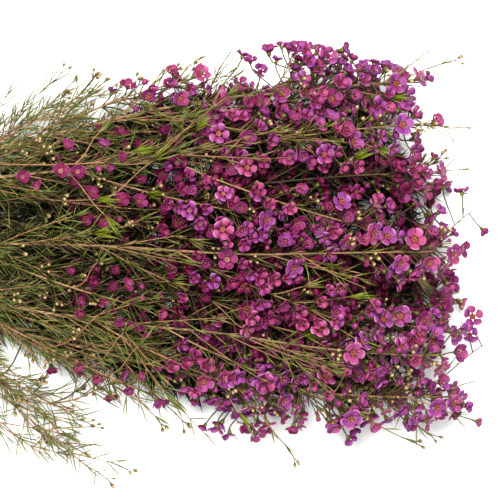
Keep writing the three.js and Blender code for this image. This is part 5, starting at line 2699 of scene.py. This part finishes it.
@dataclass
class Dresser:
    """Builds the finer piece that stands for each solid of the plant. Sizes are in millimetres."""

    stem_shares: Span = (0.92, 0.62)  # a main stem's thickness against its solid's, over taper_x
    taper_x: Span = (STEM.held, 150)
    shoot_share: float = 0.66
    least_radius: float = 0.28
    drawn_out_radius: float = 0.15
    sunk: float = 0.3  # how far a stalk goes into its flower or bud
    stalk_radii: Span = (0.36, 0.46)
    bud_stalk_radii: Span = (0.36, 0.42)
    bloom_sizes: Span = (0.86, 1.02)
    side_bloom_sizes: Span = (0.64, 0.98)
    needle_width: float = 0.45
    # how much of each tint is painted shade by place in the bunch; the rest is random
    painted_shade_share: float = 0.68
    uneven: tuple[tuple[float, ...], ...] = ((0, 9, -6, 5, -8), (12, -9, 4, 22, -5), (-6, 14, 30, 2, 10))

    def __post_init__(self) -> None:
        """Models once everything that repeats."""
        plum, tilts = Surface.HEART, self.uneven
        simple = {"stamens": 5, "sides": 7, "is_fine": False}
        self.open_flowers = [Blossom(angle, tilts=own).model() for angle, own in zip((10, 20, 34), tilts)]
        self.cups = [Blossom(angle, petal_to=6.4, petal_width=5.4, disc=plum).model() for angle in (52, 66)]
        self.side_open = [
            Blossom(angle, tilts=tuple(1.7 * tilt for tilt in own), disc=disc, **simple).model()
            for angle, own, disc in zip((12, 24, 36), tilts, (Surface.DISC, plum, plum))
        ]
        self.side_cups = [
            Blossom(angle, petal_width=5.6, petal_from=1.6, petal_to=7.0, disc=plum, **simple).model()
            for angle in (40, 52)
        ]
        self.globe = ClosedBud().model()
        small = ClosedBud(3.1, 1.6, radius=1.45, squash=0.8, sides=6, rings=5, surface=Surface.CREAM)
        self.cream = small.model()
        self.needles = [NeedleLeaf(bow=bow).model() for bow in (0.9, -0.9)]
        # the near-black needle that stands in for shade low in the bunch
        self.spike = NeedleLeaf(bow=0, widths=(0.05,), surface=Surface.SHADE_FILL).model()

    def _tint(self, at: Vec, draw: SeededDraw) -> float:
        """The tint of something at a place: mostly painted shade by how far inside the bunch it lies,
        partly random.
        """
        return self.painted_shade_share * float(painted_light_at(at[None])[0]) + (1 - self.painted_shade_share) * draw.part()

    def dress(self, name: str, grown: Grown, extra: Extra, draw: SeededDraw) -> bpy.types.Object:
        """Builds one piece.

        Args:
            name: the solid that it stands for.
            grown: what the solid holds.
            extra: what is added to it.
            draw: the draw for tints and shapes.

        Returns:
            The object.
        """
        piece = Gathering(name + "_dressed")
        is_stem = name.startswith("stem")
        self._add_tubes(piece, grown, extra, is_stem)
        self._add_blooms(piece, grown.blooms, draw, self.open_flowers, self.cups, self.bloom_sizes)
        self._add_blooms(piece, extra.blooms, draw, self.side_open, self.side_cups, self.side_bloom_sizes)
        self._add_buds(piece, grown, extra, draw)
        self._add_needles(piece, grown, extra, draw)
        obj = piece.make("leafy_stem" if is_stem else "flowering_spray", name)
        LOG.info("%s: %d polygons", obj.name, len(obj.data.polygons))
        return obj

    def _add_tubes(self, piece: Gathering, grown: Grown, extra: Extra, is_stem: bool) -> None:
        """Draws the stem, the twigs and the stalks.

        Args:
            piece: what they are gathered in.
            grown: what the solid holds.
            extra: what is added to it.
            is_stem: whether the first shoot is a main stem, with bark.
        """
        bark, twigs, stalks = Tubes(Surface.BARK, 3), Tubes(Surface.TWIG, 1), Tubes(Surface.STALK, 0)
        if is_stem:
            line, radii = self._line(*grown.shoots[0], 1)
            bark.add(line, radii * np.interp(line[:, 0], self.taper_x, self.stem_shares))
        for shoot, foot in grown.shoots[is_stem:] + extra.twiglets:
            twigs.add(*self._line(shoot, foot, self.shoot_share))
        for head, _, foot, heading in grown.blooms + extra.blooms:
            line = arc(foot, heading, head.at + head.axis * self.sunk, head.axis, 4)
            stalks.add(line, np.linspace(*self.stalk_radii, 5))
        for head, foot in grown.buds:
            stalks.add([foot, head.at + head.axis * self.sunk], self.bud_stalk_radii)
        for line, radii in extra.stalks:
            stalks.add(line, radii)
        for tubes in (bark, twigs, stalks):
            shape = tubes.model()
            if shape is not None:
                piece.add(shape)

    def _line(self, shoot: Shoot, foot: Vec | None, share: float) -> tuple[Vec, Vec]:
        """A shoot's smooth line, from inside what bears it out to a drawn-out tip.

        Args:
            shoot: the shoot.
            foot: a place inside what bears it, if anything does.
            share: its thickness against its solid's.

        Returns:
            The line's points and radii.
        """
        points = list(shoot.points)
        radii = [max(radius * share, self.least_radius) for radius in shoot.radii]
        if foot is not None:
            points, radii = [foot, *points], [radii[0], *radii]
        if shoot.drawn_out is not None:
            points.append(shoot.drawn_out)
            radii.append(self.drawn_out_radius)
        return smooth_line(points, radii, 3)

    def _add_blooms(
        self, piece: Gathering, blooms: list[Bloom], draw: SeededDraw, opened: list[Faces],
        cups: list[Faces], sizes: Span,
    ) -> None:
        """Places flowers, smaller and less open toward the stems, where they come late.

        Args:
            piece: what they are gathered in.
            blooms: where they stand.
            draw: the draw for their shapes, sizes and tints.
            opened: the shapes of an open flower.
            cups: the shapes of a half-closed flower.
            sizes: the range of their size against the modelled one.
        """
        shapes = opened + cups
        placed: list[list[tuple[Vec, Vec, float]]] = [[] for _ in shapes]
        for bloom in blooms:
            late = np.interp(bloom.head.at[0], RIPENS, (0.5, 1))
            pick = int((1 - draw.part() * late**3) * len(opened) * 0.999)
            if not bloom.is_open:
                pick = len(opened) + int(draw.part() * len(cups))
            size = draw.between(*sizes) * (0.6 + 0.4 * late)
            # painted shade tint, pulled toward a dull middle on late flowers near the stems
            tint = self._tint(bloom.head.at, draw) * late + 0.3 * (1 - late)
            placed[pick].append((bloom.head.matrix() * size, bloom.head.at, tint))
        for shape, copies in zip(shapes, placed):
            piece.copy_in(shape, copies)

    def _add_buds(self, piece: Gathering, grown: Grown, extra: Extra, draw: SeededDraw) -> None:
        """Places the closed buds, magenta or still cream.

        Args:
            piece: what they are gathered in.
            grown: what the solid holds.
            extra: what is added to it.
            draw: the draw for their tints.
        """
        globes = [(head.matrix(), head.at, self._tint(head.at, draw)) for head, _ in grown.buds]
        creams = []
        for head, size, is_cream in extra.knobs:
            copies = creams if is_cream else globes
            copies.append((head.matrix() * size, head.at, self._tint(head.at, draw)))
        piece.copy_in(self.globe, globes)
        piece.copy_in(self.cream, creams)

    def _add_needles(self, piece: Gathering, grown: Grown, extra: Extra, draw: SeededDraw) -> None:
        """Places the needles, bowed one way or the other.

        Args:
            piece: what they are gathered in.
            grown: what the solid holds.
            extra: what is added to it.
            draw: the draw for their shapes and tints.
        """
        placed: tuple[list, list] = ([], [])
        wide = self.needle_width
        for foot, tip in grown.leaves:
            heading = tip - foot
            axis = heading / math.sqrt(heading @ heading)
            across = square_to(cross(FORWARD, axis) if abs(axis[0]) < 0.95 else UP, axis)
            matrix = np.stack([across * wide, cross(axis, across) * wide, heading], axis=1)
            placed[int(draw.part() * 2)].append((matrix, foot, self._tint(tip, draw)))
        for matrix, foot in extra.blades:
            pick = int(draw.part() * 2)
            # painted shade: needles far inside the bunch get low tints and so dark colours
            placed[pick].append((matrix, foot, 0.92 * self._tint(foot + matrix[:, 2], draw)))
        for matrix, foot in extra.lush:
            placed[int(draw.part() * 2)].append((matrix, foot, 1.0))
        for shape, copies in zip(self.needles, placed):
            piece.copy_in(shape, copies)
        # painted shade: the filler needles get tints near 0, the darkest shade colour
        piece.copy_in(self.spike, [(matrix, foot, 0.1 * draw.part()) for matrix, foot in extra.shade])


@dataclass
class Elastic:
    """The elastic band that holds the stems: a flat band with ribs, which sits where its solid is.

    Its wall reaches inwards to the round bark, all but a play. Sizes are in millimetres.
    """

    ribs: int = 5
    rib_depth: float = 0.18
    play: float = 0.12
    sides: int = 72

    def build(self) -> bpy.types.Object:
        """Builds the band: a ring whose outer face is cut in ribs and bulges between them.

        Returns:
            The object.
        """
        low, high = (np.array(corner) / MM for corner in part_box("elastic_tie"))
        middle = (low + high) / 2
        outer, width = (high[2] - low[2]) / 2, high[0] - low[0]
        inner = OUTER_RING.radius + STEM.radius * Dresser.stem_shares[0] + self.play
        deselect()
        place = (middle[0] * MM, middle[1] * MM, middle[2] * MM)
        bpy.ops.mesh.primitive_cylinder_add(
            vertices=self.sides,
            radius=(outer - self.rib_depth) * MM,
            depth=width * MM,
            end_fill_type="NOTHING",
            location=place,
            rotation=(0, math.pi / 2, 0),
        )
        band = bpy.context.object
        bpy.ops.object.transform_apply(location=True, rotation=True, scale=True)
        bpy.ops.object.mode_set(mode="EDIT")
        for k in range(1, self.ribs * 2):
            bpy.ops.mesh.select_all(action="SELECT")
            cut = (low[0] + width * k / (self.ribs * 2)) * MM
            bpy.ops.mesh.bisect(plane_co=(cut, 0, 0), plane_no=(1, 0, 0))
            if k % 2:
                swell = 1 + self.rib_depth / (outer - self.rib_depth)
                bpy.ops.transform.resize(value=(1, swell, swell), center_override=place)
        bpy.ops.mesh.select_all(action="SELECT")
        paint(Surface.LATEX)
        bpy.ops.object.mode_set(mode="OBJECT")
        wall = band.modifiers.new("wall", "SOLIDIFY")
        wall.thickness = (outer - inner - self.rib_depth) * MM
        wall.offset = -1
        bpy.ops.object.modifier_apply(modifier="wall")
        piece = Gathering("elastic_tie_dressed")
        piece.add(Faces.read(band, lambda p: np.full(len(p), 0.5)))
        return piece.make("elastic", "elastic_tie")


# ---- studio


@dataclass
class Studio:
    """The pale floor, the soft lights and the camera straight above the flower heads. Sizes in metres."""

    look_x: float = 0.307
    look_y: float = -0.0087
    field: float = 0.31
    field_height: float = 0.06
    camera_height: float = 2.0
    sensor: float = 0.036
    key: tuple[str, tuple[float, ...], float, float] = ("key_light", (0.2, 0.42, 1.9), 0.8, 80.0)
    fill: tuple[str, tuple[float, ...], float, float] = ("fill_light", (0.75, -0.9, 1.3), 1.2, 8.0)

    def build(self) -> None:
        """Sets the studio up."""
        self._camera()
        self._floor()
        self._lights()

    def _camera(self) -> None:
        """The camera, which looks straight down with +Y at the top of its view."""
        place = (self.look_x, self.look_y, self.camera_height)
        bpy.ops.object.camera_add(location=place, rotation=(0, 0, 0))
        camera = bpy.context.object
        camera.name = "camera_above"
        camera.data.sensor_width = self.sensor * 1000
        distance = self.camera_height - self.field_height
        camera.data.lens = self.sensor * 1000 * distance / self.field
        bpy.context.scene.camera = camera

    def _floor(self) -> None:
        """The floor: a broad sheet of matt white paper."""
        bpy.ops.mesh.primitive_plane_add(size=6, location=(0.2, 0, -0.0005))
        floor = bpy.context.object
        floor.name = "floor"
        paper = Palette("matt_paper")
        tone = paper.mix(paper.ramp(paper.noise(40), 0.3, 0.7), "#fcfcfb", "#f8f8f7")
        floor.data.materials.append(paper.finish(tone, paper.noise(1.5), 0.02, Roughness=0.9))

    def _lights(self) -> None:
        """A broad key light over the far side, a fill light, and an even pale surround."""
        for name, place, size, power in (self.key, self.fill):
            bpy.ops.object.light_add(type="AREA", location=place)
            light = bpy.context.object
            light.name = name
            light.data.size = size
            light.data.energy = power
            aim = Vector((self.look_x, self.look_y, self.field_height)) - Vector(place)
            light.rotation_euler = aim.to_track_quat("-Z", "Y").to_euler()
        world = bpy.data.worlds.new("pale_surround")
        bpy.context.scene.world = world
        world.use_nodes = True
        world.node_tree.nodes.clear()
        sky = add_node(world.node_tree, "ShaderNodeBackground", {"Color": (1, 1, 1, 1), "Strength": 0.08})
        add_node(world.node_tree, "ShaderNodeOutputWorld", {"Surface": sky.outputs["Background"]})
        bpy.context.scene.view_settings.view_transform = "Standard"
        bpy.context.scene.view_settings.look = "Medium High Contrast"


def main() -> None:
    """Builds the studio and every piece."""
    logging.basicConfig(level=logging.INFO, format="%(name)s %(message)s")
    Studio().build()
    growth = Growth()
    grown = growth.grow()
    extras = Filling(growth).grow()
    LOG.info("grown: %d blooms", sum(len(node.blooms) for node in grown.values()))
    LOG.info("added: %d needles", sum(len(extra.blades) for extra in extras.values()))
    LOG.info("added: %d young buds", sum(len(extra.knobs) for extra in extras.values()))
    LOG.info("added: %d side flowers", sum(len(extra.blooms) for extra in extras.values()))
    dresser = Dresser()
    draw = SeededDraw(LOOKS_SEED)
    faces = 0
    for name, node in grown.items():
        obj = dresser.dress(name, node, extras[name], draw)
        faces += sum(len(p.vertices) - 2 for p in obj.data.polygons)
    Elastic().build()
    LOG.info("all pieces: %d triangles", faces)


if __name__ == "__main__":
    main()
